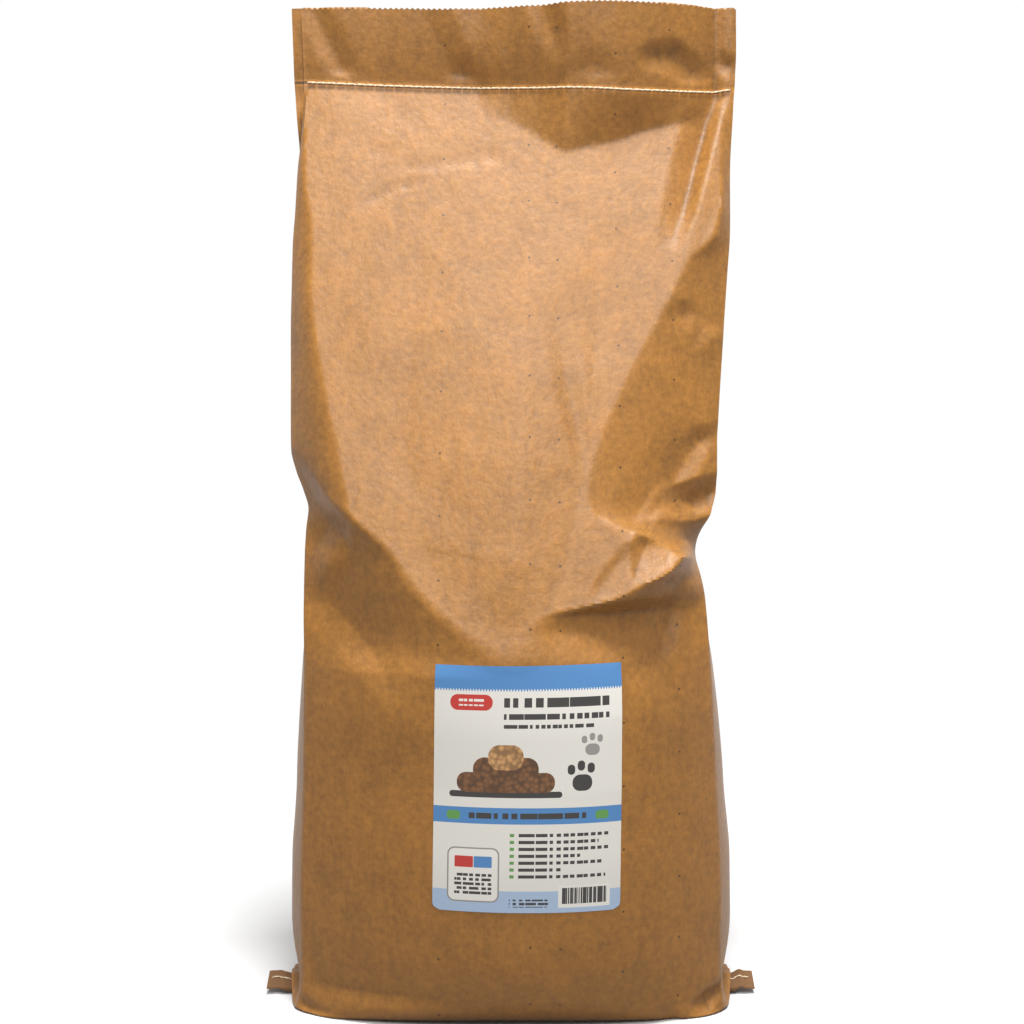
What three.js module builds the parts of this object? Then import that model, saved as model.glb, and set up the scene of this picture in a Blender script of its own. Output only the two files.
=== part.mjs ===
// A tall side-gusseted kraft paper sack of pelleted ferret litter, closed by sewing at both ends.
// The filled sack stands on its folded-under bottom seam. Its pellets fill the lower two fifths, and the
// emptier paper above them slopes back to the sewn mouth and its upright flap.
// Millimetres, +Z up. x runs to the right of the front and y to the back. The pieces are laid out round the
// middle plane of the folded-under bottom, and the group is then set back a little, so that its origin is on
// the ground under the middle of the whole pack.
import * as THREE from 'three';

// Driving sizes of the flat paper tube
const FACE = 381;
const GUSSET = 127;
const PLY = 1.1;
const FLAP = 71;

// Driving sizes of the filled sack
const SEAM_HEIGHT = 782;
const SEAM_SETBACK = 38;
const BELLY_FRONT = 131;
const BELLY_BACK = 118;
const BASE_FRONT = 80;
const BASE_BACK = 84;
const SHEET_SHIFT = 9;
const CORNER_LIFT = 44;
const RIDGE_ROUND = 4;

// Driving sizes of the closures
const SEAM_THICKNESS = 2.6;
const SEAM_BAND = 4;
const SEAM_LINE = 0.5;
const MOUTH_THICKNESS = 5;
const FIN = 22;
const FIN_THICKNESS = 2.2;
const TAPE_COVER = 20;
const TAPE_TAIL = 19;
const TAPE_THICKNESS = 0.45;
const THREAD = 1.2;
const STITCH = 8.5;
const STITCH_END = 1.5;
const NECK = 0.45;
const CHAIN_WIDTH = 2.6;
const SEAM_MARGIN = 3;
const FIN_END_RISE = 4;

// Driving sizes of the adhesive label
const LABEL_WIDTH = 152;
const LABEL_HEIGHT = 200;
const LABEL_LOW = 104;
const LABEL_RIGHT_SHIFT = 14;
const LABEL_CORNER = 7;
const LABEL_THICKNESS = 0.4;

// Clearance between pieces that lie on each other
const CLEAR = 0.3;
const LABEL_CLEAR = 0.4;

// How finely the sack is faceted
const FRONT_STEPS = 32;
const GUSSET_STEPS = 4;
const BACK_STEPS = 16;
const WALL_STEPS = 58;

const HALF = FACE / 2;
const TUCK = GUSSET / 2;

// Heights that follow from the closures: the bottom seam lies on the ground, stitched through its tape
const FIN_BOTTOM = THREAD + TAPE_THICKNESS + 3 * CLEAR;
const FIN_TOP = FIN_BOTTOM + FIN_THICKNESS;
const FIN_COVER = FIN_TOP + TAPE_THICKNESS + THREAD + 4 * CLEAR;
const FIN_MIDDLE = FIN_BOTTOM + FIN_THICKNESS / 2;

const clamp = THREE.MathUtils.clamp;
const lerp = THREE.MathUtils.lerp;
const smooth = THREE.MathUtils.smoothstep;

// Smooth curve through [place, value] keys that never swings past them
function track(keys, place) {
  const last = keys.length - 1;
  if (place <= keys[0][0]) return keys[0][1];
  if (place >= keys[last][0]) return keys[last][1];
  let i = 0;
  while (place > keys[i + 1][0]) i += 1;
  const slope = (k) => (keys[k + 1][1] - keys[k][1]) / (keys[k + 1][0] - keys[k][0]);
  const tangent = (k) => {
    if (k === 0) return slope(0);
    if (k === last) return slope(last - 1);
    const before = slope(k - 1);
    const after = slope(k);
    return before * after <= 0 ? 0 : (2 * before * after) / (before + after);
  };
  const span = keys[i + 1][0] - keys[i][0];
  const t = (place - keys[i][0]) / span;
  const rise = t * t * (3 - 2 * t);
  const lead = t * (1 - t) * (1 - t) * span;
  const trail = t * t * (t - 1) * span;
  return keys[i][1] * (1 - rise) + keys[i + 1][1] * rise + tangent(i) * lead + tangent(i + 1) * trail;
}

// Heights in the tables below are shares of SEAM_HEIGHT, and x places are shares of half the FACE
const atHeight = (keys, z) => track(keys, z / SEAM_HEIGHT);
const between = ([low, high], z) => smooth(z / SEAM_HEIGHT, low, high);

// Edge folds of the front sheet, where it turns into the gussets: x at each height
const LEFT_EDGE = [
  [0.038, -0.913], [0.128, -0.916], [0.256, -0.903], [0.352, -0.9], [0.441, -0.908],
  [0.512, -0.906], [0.533, -0.9], [0.555, -0.924], [0.575, -0.955], [0.598, -0.976],
  [0.665, -0.982], [0.754, -0.99], [0.818, -0.99], [0.862, -0.982], [0.908, -0.976],
  [0.946, -0.963], [1, -0.955], [1.092, -0.963],
];
const RIGHT_EDGE = [
  [0.038, 0.913], [0.128, 0.916], [0.256, 0.892], [0.352, 0.874], [0.441, 0.85],
  [0.463, 0.835], [0.486, 0.816], [0.509, 0.84], [0.533, 0.887], [0.555, 0.911],
  [0.601, 0.916], [0.708, 0.948], [0.795, 0.979], [0.838, 0.995], [0.908, 1.003],
  [0.977, 1.024], [1.033, 1.037], [1.092, 1.034],
];
// Middle fold of the gussets, measured out from the edge fold: bulged out below, tucked in above
const GUSSET_OUT = [
  [0.038, 0.081], [0.128, 0.073], [0.256, 0.063], [0.352, 0.042], [0.396, 0.016],
  [0.441, -0.042], [0.486, -0.136], [0.537, -0.226], [0.639, -0.278], [0.767, -0.31], [0.991, -0.331],
];
// Half the distance between the front and back edge folds, as shares of TUCK
const HALF_DEPTH = [
  [0.038, 1], [0.32, 0.99], [0.422, 0.85], [0.512, 0.69], [0.639, 0.535], [0.767, 0.38],
  [0.895, 0.19], [0.992, 0.022],
];
// How far the sack's middle plane leans back
const LEAN = [[0.422, 0], [0.512, 0.08], [0.639, 0.26], [0.767, 0.55], [0.895, 0.82], [0.992, 1]];
// The front sheet round the pellets, as shares of BELLY_FRONT, and how pointed its section is
const FRONT_BELLY = [
  [0.035, 0.872], [0.058, 0.925], [0.077, 0.955], [0.128, 0.985], [0.192, 1], [0.307, 1],
  [0.391, 0.977], [0.512, 0.97],
];
const FRONT_POINT = [[0.377, 1.95], [0.428, 1.5], [0.512, 1.4]];
const FRONT_CREST = [[0.256, 0.063], [0.384, -0.021], [0.428, -0.073]];
// The flat slope above the pellets: its depth, and the two ridges that bound it
const SLOPE_FOOT = 0.435;
const SLOPE_FOOT_DEPTH = 116;
const LEFT_RIDGE = [
  [0.384, -0.672], [0.529, -0.688], [0.581, -0.724], [0.653, -0.798], [0.728, -0.861],
  [0.771, -0.887], [0.838, -0.892], [0.895, -0.934], [1, -0.955],
];
const RIGHT_RIDGE = [
  [0.422, 0.21], [0.535, 0.283], [0.572, 0.336], [0.628, 0.415], [0.696, 0.546], [0.751, 0.693],
  [0.785, 0.751], [0.826, 0.819], [0.894, 0.882], [0.997, 0.95],
];
// The back sheet, as shares of BELLY_BACK, and how rounded its section is
const BACK_BELLY = [
  [0.033, 0.93], [0.077, 0.985], [0.166, 1], [0.281, 1], [0.435, 0.94], [0.537, 0.84], [0.639, 0.73],
  [0.767, 0.6], [0.895, 0.46], [0.992, 0.36],
];
const BACK_POINT = 2.2;
// Heights between which the back sheet, the gussets and the shift of the sheets close up to the seam
const BACK_PRESS = [0.914, 0.996];
const GUSSET_PRESS = [0.882, 0.992];
const SHIFT_RISE = [0.895, 1.01];
// Heights between which the lift of the corners dies away, and how closely it keeps to the corners
const LIFT_FADE = [0.026, 0.243];
const LIFT_SHARPNESS = 14;
// The wall runs between these heights, and the seam's own rings follow
const WALL_FOOT = 0.035;
const WALL_HEAD = 0.982;
// How far the flap leans forward above the seam, and how early it bends
const FLAP_LEAN = [[-0.997, 3], [-0.367, 5], [-0.131, 8], [0.184, 16], [0.735, 15], [0.997, 6]];
const FLAP_CURL = 0.6;
// The seam and the flap's free edge run a little out of level
const SEAM_WAVE = [[-0.971, 4], [-0.682, 3.5], [-0.105, 0.5], [0.236, 1], [0.866, -3], [1.024, 1]];
const EDGE_WAVE = [[-0.971, 0], [-0.472, -1], [-0.262, -2.5], [0.026, -2], [0.315, -1.5], [0.787, 0]];

// Folds pressed into the front sheet. Each is a line of points [x, height, rise, reach above, reach below],
// where above and below are the fold's two sides, and the rise is towards the front.
const FRONT_FOLDS = [
  { name: 'facet under the seam', bend: 1, line: [
    [-0.063, 0.996, 0, 12, 40], [0.236, 0.996, 18, 12, 56], [0.577, 0.995, 18, 12, 42],
    [0.735, 0.992, 13, 12, 28], [0.924, 0.99, 2, 12, 12],
  ] },
  { name: 'valley beside the right ridge', bend: 1.5, line: [
    [1.008, 0.992, 0, 12, 12], [0.913, 0.917, -5, 16, 10], [0.84, 0.831, -5, 16, 10],
    [0.766, 0.775, 0, 12, 10],
  ] },
  { name: 'dent under the left shoulder', bend: 1.3, line: [
    [-0.976, 0.568, -9, 34, 26], [-0.84, 0.552, -15, 40, 30], [-0.719, 0.523, -11, 26, 24],
    [-0.661, 0.512, 0, 20, 20],
  ] },
  { name: 'upper crumple at the right edge', bend: 1.2, line: [
    [0.588, 0.551, 0, 14, 14], [0.682, 0.554, -6, 15, 16], [0.924, 0.551, -9, 17, 16],
  ] },
  { name: 'shelf at the right edge', bend: 1.2, line: [
    [0.514, 0.535, 0, 14, 14], [0.588, 0.537, 4, 14, 16], [0.84, 0.532, 6, 14, 14],
  ] },
  { name: 'notch at the right waist', bend: 1.1, line: [
    [0.441, 0.509, 0, 16, 22], [0.551, 0.515, -7, 18, 30], [0.787, 0.512, -14, 18, 34],
    [0.892, 0.504, -16, 18, 34],
  ] },
  { name: 'ridge under the right waist', bend: 1.3, line: [
    [0.304, 0.432, 3, 34, 26], [0.441, 0.445, 7, 34, 34], [0.619, 0.471, 7, 30, 40],
    [0.798, 0.496, 0, 16, 30],
  ] },
  { name: 'fold beside the label', bend: 1.3, line: [
    [0.798, 0.476, 0, 14, 18], [0.693, 0.435, -4, 18, 20], [0.609, 0.391, -7, 20, 22],
    [0.451, 0.363, 0, 14, 14],
  ] },
  { name: 'fold under the left shoulder', bend: 1.3, line: [
    [-0.787, 0.463, 0, 12, 18], [-0.735, 0.442, 5, 12, 20], [-0.64, 0.412, 5, 14, 20],
    [-0.525, 0.379, 0, 14, 18],
  ] },
];
// Folds of the back sheet, in the same form, with the rise towards the back
const BACK_FOLDS = [
  { name: 'long fold on the back', bend: 1.3, line: [
    [-0.787, 0.882, 0, 40, 40], [-0.504, 0.716, 12, 60, 50], [-0.273, 0.563, 12, 60, 50],
    [-0.157, 0.486, 0, 30, 30],
  ] },
  { name: 'waist crease on the back', bend: 1.2, line: [
    [-0.924, 0.506, -8, 26, 26], [-0.472, 0.517, -6, 24, 26], [0.105, 0.501, 0, 16, 16],
  ] },
  { name: 'right waist crease on the back', bend: 1.2, line: [
    [0.315, 0.537, 0, 20, 20], [0.63, 0.522, -8, 26, 26], [0.934, 0.509, -10, 26, 26],
  ] },
];

// What one fold adds at a place: nothing past its reach, and most on its line
function foldRise(fold, x, z) {
  let nearest = Infinity;
  let rise = 0;
  for (let i = 0; i < fold.line.length - 1; i += 1) {
    const [ux, uz, ...from] = fold.line[i];
    const [vx, vz, ...to] = fold.line[i + 1];
    const ax = ux * HALF;
    const az = uz * SEAM_HEIGHT;
    const runX = vx * HALF - ax;
    const runZ = vz * SEAM_HEIGHT - az;
    const share = clamp(((x - ax) * runX + (z - az) * runZ) / (runX * runX + runZ * runZ), 0, 1);
    const offX = x - ax - share * runX;
    const offZ = z - az - share * runZ;
    const distance = Math.hypot(offX, offZ);
    if (distance < nearest) {
      nearest = distance;
      const side = (runX * offZ - runZ * offX) * Math.sign(runX) >= 0 ? 1 : 2;
      const reach = lerp(from[side], to[side], share);
      rise = lerp(from[0], to[0], share) * Math.pow(Math.max(0, 1 - distance / reach), fold.bend);
    }
  }
  return rise;
}

// The farther back of two depths, with the edge between them rounded over a few millimetres
function roundedMax(a, b, round) {
  const h = clamp(0.5 + (a - b) / (2 * round), 0, 1);
  return lerp(b, a, h) + (round * h * (1 - h)) / 2;
}

const leftEdge = (z) => atHeight(LEFT_EDGE, z) * HALF;
const rightEdge = (z) => atHeight(RIGHT_EDGE, z) * HALF;
const middle = (z) => atHeight(LEAN, z) * SEAM_SETBACK;
const halfDepth = (z) => atHeight(HALF_DEPTH, z) * TUCK;
const seamHeight = (x) => SEAM_HEIGHT + track(SEAM_WAVE, x / HALF);

// Depth of the front sheet below the seam
function frontDepth(x, z) {
  const left = leftEdge(z);
  const right = rightEdge(z);
  const edge = middle(z) - halfDepth(z);
  const crest = atHeight(FRONT_CREST, z) * HALF;
  const belly = -atHeight(FRONT_BELLY, z) * BELLY_FRONT;
  const off = clamp(x < crest ? (crest - x) / (crest - left) : (x - crest) / (right - crest), 0, 1);
  const round = edge + (belly - edge) * (1 - Math.pow(off, atHeight(FRONT_POINT, z)));
  const rise = (z / SEAM_HEIGHT - SLOPE_FOOT) / (1 - SLOPE_FOOT);
  const plane = rise * (SEAM_SETBACK - SEAM_THICKNESS / 2 + SLOPE_FOOT_DEPTH) - SLOPE_FOOT_DEPTH;
  const leftRidge = atHeight(LEFT_RIDGE, z) * HALF;
  const rightRidge = atHeight(RIGHT_RIDGE, z) * HALF;
  let slope = plane;
  if (x < leftRidge) slope = lerp(plane, edge, clamp((leftRidge - x) / (leftRidge - left), 0, 1));
  if (x > rightRidge) slope = lerp(plane, edge, clamp((x - rightRidge) / (right - rightRidge), 0, 1));
  let depth = roundedMax(round, slope, RIDGE_ROUND);
  for (const fold of FRONT_FOLDS) depth -= foldRise(fold, x, z);
  return depth;
}

// Depth of the front sheet at any height: the sewing presses a band flat, and the flap leans out above it
function frontSheet(x, z) {
  const seam = seamHeight(x);
  const share = Math.max(0, z - seam - SEAM_BAND) / FLAP;
  const lean = track(FLAP_LEAN, x / HALF) * share * (1 + FLAP_CURL * (1 - share));
  return frontDepth(x, Math.min(z, seam - SEAM_BAND)) - lean;
}

// Depth of the back sheet: its own belly low down, and pressed on the front sheet at the seam
function backSheet(x, z) {
  const left = leftEdge(z);
  const right = rightEdge(z);
  const edge = middle(z) + halfDepth(z);
  const belly = Math.max(atHeight(BACK_BELLY, z) * BELLY_BACK, edge + 1);
  const off = clamp(Math.abs((x - (left + right) / 2) / ((right - left) / 2)), 0, 1);
  let free = edge + (belly - edge) * (1 - Math.pow(off, BACK_POINT));
  for (const fold of BACK_FOLDS) free += foldRise(fold, x, z);
  const flap = clamp((z - seamHeight(x)) / FLAP, 0, 1);
  const pressed = frontSheet(x, z) + lerp(SEAM_THICKNESS, MOUTH_THICKNESS, smooth(flap, 0, 1));
  const press = between(BACK_PRESS, z);
  return Math.max(lerp(free, pressed, press), pressed);
}

// How far the back sheet's edges stand to the left of the front sheet's, near the mouth
const sheetShift = (z) => SHEET_SHIFT * between(SHIFT_RISE, z);

// One ring round the sack: front sheet left to right, right gusset, back sheet right to left, left gusset
function joinRing(front, rightGusset, back, leftGusset) {
  const ring = [];
  for (let i = 0; i <= FRONT_STEPS; i += 1) ring.push(front((2 * i) / FRONT_STEPS - 1));
  for (let i = 1; i < 2 * GUSSET_STEPS; i += 1) ring.push(rightGusset(i / (2 * GUSSET_STEPS)));
  for (let i = 0; i <= BACK_STEPS; i += 1) ring.push(back(1 - (2 * i) / BACK_STEPS));
  for (let i = 2 * GUSSET_STEPS - 1; i > 0; i -= 1) ring.push(leftGusset(i / (2 * GUSSET_STEPS)));
  return ring;
}

// A ring of the upright wall. The sack's corners are lifted off the ground, so low rings rise to them.
function wallRing(level) {
  const lift = CORNER_LIFT * (1 - between(LIFT_FADE, level));
  const flapShare = clamp((level - SEAM_HEIGHT) / FLAP, 0, 1);
  const seamShare = between([BACK_PRESS[0], 1], level);
  const heightAt = (x, u) => {
    const wave = lerp(track(SEAM_WAVE, x / HALF) * seamShare, track(EDGE_WAVE, x / HALF), flapShare);
    return level + lift * Math.pow(Math.abs(u), LIFT_SHARPNESS) + wave;
  };
  const sheet = (u, shift, depthOf) => {
    const guess = lerp(leftEdge(level), rightEdge(level), (u + 1) / 2);
    const z = heightAt(guess, u);
    const x = lerp(leftEdge(z), rightEdge(z), (u + 1) / 2) - shift;
    return new THREE.Vector3(x, depthOf(x, z), z);
  };
  const front = (u) => sheet(u, 0, frontSheet);
  const back = (u) => sheet(u, sheetShift(level), backSheet);
  const gusset = (side) => {
    const a = front(side);
    const b = back(side);
    const z = (a.z + b.z) / 2;
    const out = atHeight(GUSSET_OUT, z) * HALF;
    const edge = side * ((side * a.x + side * b.x) / 2);
    const inX = edge + side * out;
    const arch = 2 - smooth(-out, 0, 30);
    const pressing = between(GUSSET_PRESS, level);
    return (share) => {
      const toMiddle = 1 - Math.abs(2 * share - 1);
      const from = share < 0.5 ? a : b;
      const bulge = 1 - Math.pow(1 - toMiddle, arch);
      const x = lerp(lerp(a.x, b.x, share), inX, bulge);
      const open = lerp(from.y, (a.y + b.y) / 2, toMiddle);
      const f = frontSheet(x, z);
      const k = backSheet(x, z);
      const ply = PLY * clamp(toMiddle * 4, 0, 1);
      const near = toMiddle > 0.99 ? (f + k) / 2 : share < 0.5 ? f + ply : k - ply;
      return new THREE.Vector3(x, lerp(open, near, pressing), lerp(a.z, b.z, share));
    };
  };
  return joinRing(front, gusset(1), back, gusset(-1));
}

// The folded-under bottom, from the seam's free edge out to where the wall begins. Each step gives the
// middle of the front sheet [y, z] and its corner [inset, y, z], the gusset's middle [inset, z], then the
// middle and corner of the back sheet. curl says how late the front and back sheets rise to their corners.
const BOTTOM = [
  {
    front: [-FIN - 1, FIN_TOP], corner: [0, -FIN - 1, FIN_TOP + 0.2],
    gusset: [TUCK, FIN_MIDDLE],
    back: [-FIN - 1, FIN_BOTTOM], backCorner: [0, -FIN - 1, FIN_BOTTOM + 0.2], curl: [4, 4],
  },
  {
    front: [-1, FIN_TOP], corner: [0, -2, FIN_TOP + FIN_END_RISE],
    gusset: [TUCK, FIN_MIDDLE],
    back: [-0.5, FIN_BOTTOM], backCorner: [0, -1.5, FIN_BOTTOM + FIN_END_RISE], curl: [4, 4],
  },
  {
    front: [-1.5, FIN_COVER], corner: [0.3, -4, FIN_COVER + 5],
    gusset: [TUCK - 1, FIN_COVER + 3],
    back: [4, 1.3], backCorner: [0.3, 2, FIN_TOP + 5], curl: [4, 4],
  },
  {
    front: [-FIN - 5, FIN_COVER], corner: [1, -16, FIN_COVER + 9],
    gusset: [TUCK - 4, FIN_COVER + 15],
    back: [11, 0], backCorner: [1, 14, FIN_COVER + 7], curl: [4, 8],
  },
  {
    front: [-FIN - 14, 1.5], corner: [2.5, -27, FIN_COVER + 13],
    gusset: [TUCK - 8, FIN_COVER + 27],
    back: [24, 0], backCorner: [2.5, 26, FIN_COVER + 11], curl: [10, 12],
  },
  {
    front: [-FIN - 22, 0], corner: [5, -38, FIN_COVER + 18],
    gusset: [TUCK - 15, FIN_COVER + 39],
    back: [40, 0], backCorner: [5, 38, FIN_COVER + 17], curl: [14, 14],
  },
  {
    front: [-(BASE_FRONT + FIN + 22) / 2, 0], corner: [8.5, -49, FIN_COVER + 24],
    gusset: [TUCK - 28, FIN_COVER + 50],
    back: [(BASE_BACK + 40) / 2, 0], backCorner: [8.5, 49, FIN_COVER + 24], curl: [14, 14],
  },
  {
    front: [-BASE_FRONT, 0], corner: [12, -57, FIN_COVER + 33],
    gusset: [TUCK - 44, FIN_COVER + 60],
    back: [BASE_BACK, 0], backCorner: [12, 57, FIN_COVER + 33], curl: [14, 14],
  },
  {
    front: [-BASE_FRONT - 12, 4], corner: [14.5, -61, FIN_COVER + 42],
    gusset: [TUCK - 56, FIN_COVER + 70],
    back: [BASE_BACK + 13, 4], backCorner: [14.5, 61, FIN_COVER + 42], curl: [14, 14],
  },
  {
    front: [-BASE_FRONT - 25, 13], corner: [16, -63.5, FIN_COVER + 52],
    gusset: [TUCK - 62, FIN_COVER + 81],
    back: [BASE_BACK + 23, 13], backCorner: [16, 63.5, FIN_COVER + 52], curl: [14, 14],
  },
];

// A ring of the bottom: flat in the middle, and drawn up to the corners
function bottomRing(step) {
  const sheet = (u, centre, corner, curl) => {
    const ends = Math.abs(u);
    const x = u * (HALF - corner[0]);
    const y = lerp(centre[0], corner[1], Math.pow(ends, 6));
    const z = lerp(centre[1], corner[2], Math.pow(ends, curl));
    return new THREE.Vector3(x, y, z);
  };
  const front = (u) => sheet(u, step.front, step.corner, step.curl[0]);
  const back = (u) => sheet(u, step.back, step.backCorner, step.curl[1]);
  const gusset = (side) => {
    const a = front(side);
    const b = back(side);
    const [inset, height] = step.gusset;
    const pinched = b.distanceTo(a) < 2 * FIN_THICKNESS;
    return (share) => {
      const toMiddle = 1 - Math.abs(2 * share - 1);
      const from = share < 0.5 ? a : b;
      const x = lerp(from.x, side * (HALF - inset), toMiddle);
      if (pinched) {
        const u = x / (HALF - step.corner[0]);
        const skin = share < 0.5 ? front(u) : back(u);
        const other = share < 0.5 ? back(u) : front(u);
        const ply = toMiddle > 0.99 ? 0.5 : 0.42 * clamp(toMiddle * 4, 0, 1);
        return new THREE.Vector3(x, lerp(skin.y, other.y, ply), lerp(skin.z, other.z, ply));
      }
      const y = lerp(from.y, (a.y + b.y) / 2, toMiddle);
      const z = lerp(from.z, height, toMiddle);
      return new THREE.Vector3(x, y, z);
    };
  };
  return joinRing(front, gusset(1), back, gusset(-1));
}

// Fills the narrow strip between two lines of ring points, both running left to right
function fillStrip(ring, near, far, turned, index, offset) {
  let i = 0;
  let j = 0;
  const face = (a, b, c) => {
    if (a === b || b === c || a === c) return;
    if (turned) index.push(offset + a, offset + c, offset + b);
    else index.push(offset + a, offset + b, offset + c);
  };
  while (i < near.length - 1 || j < far.length - 1) {
    const nearNext = i < near.length - 1 ? ring[near[i + 1]].x : Infinity;
    const farNext = j < far.length - 1 ? ring[far[j + 1]].x : Infinity;
    if (nearNext <= farNext) {
      face(near[i], near[i + 1], far[j]);
      i += 1;
    } else {
      face(near[i], far[j + 1], far[j]);
      j += 1;
    }
  }
}

// Fills one end of the tube: the front and back sheets, and the gusset folds tucked in between them
function fillEnd(ring, offset, turned, index) {
  const span = (from, to) => {
    const step = Math.sign(to - from);
    return Array.from({ length: Math.abs(to - from) + 1 }, (_, i) => from + i * step);
  };
  const rightMiddle = FRONT_STEPS + GUSSET_STEPS;
  const backRight = FRONT_STEPS + 2 * GUSSET_STEPS;
  const backLeft = backRight + BACK_STEPS;
  const leftMiddle = backLeft + GUSSET_STEPS;
  const reach = (list, from, to) => list.filter((i) => ring[i].x > ring[from].x && ring[i].x < ring[to].x);
  const front = span(0, FRONT_STEPS);
  const back = span(backLeft, backRight);
  const frontInner = reach(front, leftMiddle, rightMiddle);
  const backInner = reach(back, leftMiddle, rightMiddle);
  const frontStart = frontInner[0];
  const frontEnd = frontInner[frontInner.length - 1];
  const backStart = backInner[0];
  const backEnd = backInner[backInner.length - 1];
  const leftFront = [0, ...span(ring.length - 1, leftMiddle)];
  const rightFront = span(rightMiddle, FRONT_STEPS);
  const leftBack = span(backLeft, leftMiddle);
  const rightBack = span(rightMiddle, backRight);
  fillStrip(ring, span(0, frontStart), leftFront, turned, index, offset);
  fillStrip(ring, frontInner, [leftMiddle, ...backInner, rightMiddle], turned, index, offset);
  fillStrip(ring, span(frontEnd, FRONT_STEPS), rightFront, turned, index, offset);
  fillStrip(ring, leftBack, span(backLeft, backStart), turned, index, offset);
  fillStrip(ring, rightBack, span(backEnd, backRight), turned, index, offset);
}

// The closed skin of the sack from its rings, filled at both ends
function skinFrom(rings) {
  const count = rings[0].length;
  const positions = rings.flat().flatMap((p) => [p.x, p.y, p.z]);
  const index = [];
  for (let r = 0; r < rings.length - 1; r += 1) {
    for (let i = 0; i < count; i += 1) {
      const a = r * count + i;
      const b = r * count + ((i + 1) % count);
      const c = a + count;
      const d = b + count;
      const near = rings[r][i].distanceTo(rings[r + 1][(i + 1) % count]);
      const far = rings[r][(i + 1) % count].distanceTo(rings[r + 1][i]);
      if (near < far) index.push(a, b, d, a, d, c);
      else index.push(a, b, c, b, d, c);
    }
  }
  fillEnd(rings[0], 0, true, index);
  fillEnd(rings[rings.length - 1], (rings.length - 1) * count, false, index);
  const geometry = new THREE.BufferGeometry();
  geometry.setAttribute('position', new THREE.Float32BufferAttribute(positions, 3));
  geometry.setIndex(index);
  return geometry;
}

const wallLevels = [];
for (let i = 0; i <= WALL_STEPS; i += 1) {
  wallLevels.push(lerp(WALL_FOOT, WALL_HEAD, i / WALL_STEPS) * SEAM_HEIGHT);
}
const seamBand = wallLevels.push(SEAM_HEIGHT - SEAM_BAND, SEAM_HEIGHT + SEAM_BAND) - 2;
for (const share of [0.12, 0.27, 0.45, 0.63, 0.81, 1]) wallLevels.push(SEAM_HEIGHT + share * FLAP);

const sackRings = BOTTOM.map(bottomRing).concat(wallLevels.map(wallRing));

const group = new THREE.Group();
group.position.y = (BELLY_FRONT + LABEL_CLEAR + LABEL_THICKNESS - BELLY_BACK) / 2;

function addPiece(name, geometry, color, roughness) {
  const flat = geometry.index ? geometry.toNonIndexed() : geometry;
  flat.computeVertexNormals();
  const mesh = new THREE.Mesh(flat, new THREE.MeshStandardMaterial({ color, roughness, metalness: 0 }));
  mesh.name = name;
  group.add(mesh);
}
addPiece('sack', skinFrom(sackRings), 0x9b6f42, 0.75);

// A closed tube from equal rings of corners that run round it
function tubeFrom(sections) {
  const count = sections[0].length;
  const positions = sections.flat().flatMap((p) => [p.x, p.y, p.z]);
  const index = [];
  for (let s = 0; s < sections.length - 1; s += 1) {
    for (let i = 0; i < count; i += 1) {
      const a = s * count + i;
      const b = s * count + ((i + 1) % count);
      const [c, d] = [a + count, b + count];
      const corner = (k) => sections[Math.floor(k / count)][k % count];
      if (corner(a).distanceTo(corner(d)) < corner(b).distanceTo(corner(c))) index.push(a, b, d, a, d, c);
      else index.push(a, b, c, b, d, c);
    }
  }
  const end = (sections.length - 1) * count;
  for (let i = 0; i < count / 2 - 1; i += 1) {
    const j = count - 1 - i;
    index.push(i, j, i + 1, i + 1, j, j - 1);
    index.push(end + i, end + i + 1, end + j, end + i + 1, end + j - 1, end + j);
  }
  return { positions, index };
}

function geometryFrom({ positions, index }) {
  const geometry = new THREE.BufferGeometry();
  geometry.setAttribute('position', new THREE.Float32BufferAttribute(positions, 3));
  geometry.setIndex(index);
  return geometry;
}

// Point of a ring's sheet at x, along the straight facets between its points
function alongSheet(ring, from, to, x) {
  const run = Math.sign(ring[to].x - ring[from].x);
  let i = from;
  while (i < to - 1 && (x - ring[i + 1].x) * run > 0) i += 1;
  const a = ring[i];
  const b = ring[i + 1];
  return a.clone().lerp(b, (x - a.x) / (b.x - a.x));
}
const FRONT_LAST = FRONT_STEPS;
const BACK_FIRST = FRONT_STEPS + 2 * GUSSET_STEPS;
const BACK_LAST = BACK_FIRST + BACK_STEPS;
const frontPoint = (ring, x) => alongSheet(ring, 0, FRONT_LAST, x);
const backPoint = (ring, x) => alongSheet(ring, BACK_FIRST, BACK_LAST, x);

// The label: a thin rounded sheet bent over the facets of the front, with its width and height measured
// along the paper
const frontFacet = (x, z) => {
  let r = BOTTOM.length;
  while (frontPoint(sackRings[r + 1], x).z < z) r += 1;
  const low = frontPoint(sackRings[r], x);
  const high = frontPoint(sackRings[r + 1], x);
  return lerp(low.y, high.y, (z - low.z) / (high.z - low.z));
};

// x of the place that lies a given way along the paper from the label's middle
function labelAcross(z, way) {
  const side = Math.sign(way);
  let x = LABEL_RIGHT_SHIFT;
  let left = Math.abs(way);
  const step = 1;
  while (left > 0) {
    const run = Math.min(step, left);
    const fall = frontFacet(x + side * run, z) - frontFacet(x, z);
    x += (side * run * run) / Math.hypot(run, fall);
    left -= run;
  }
  return x;
}

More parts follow.
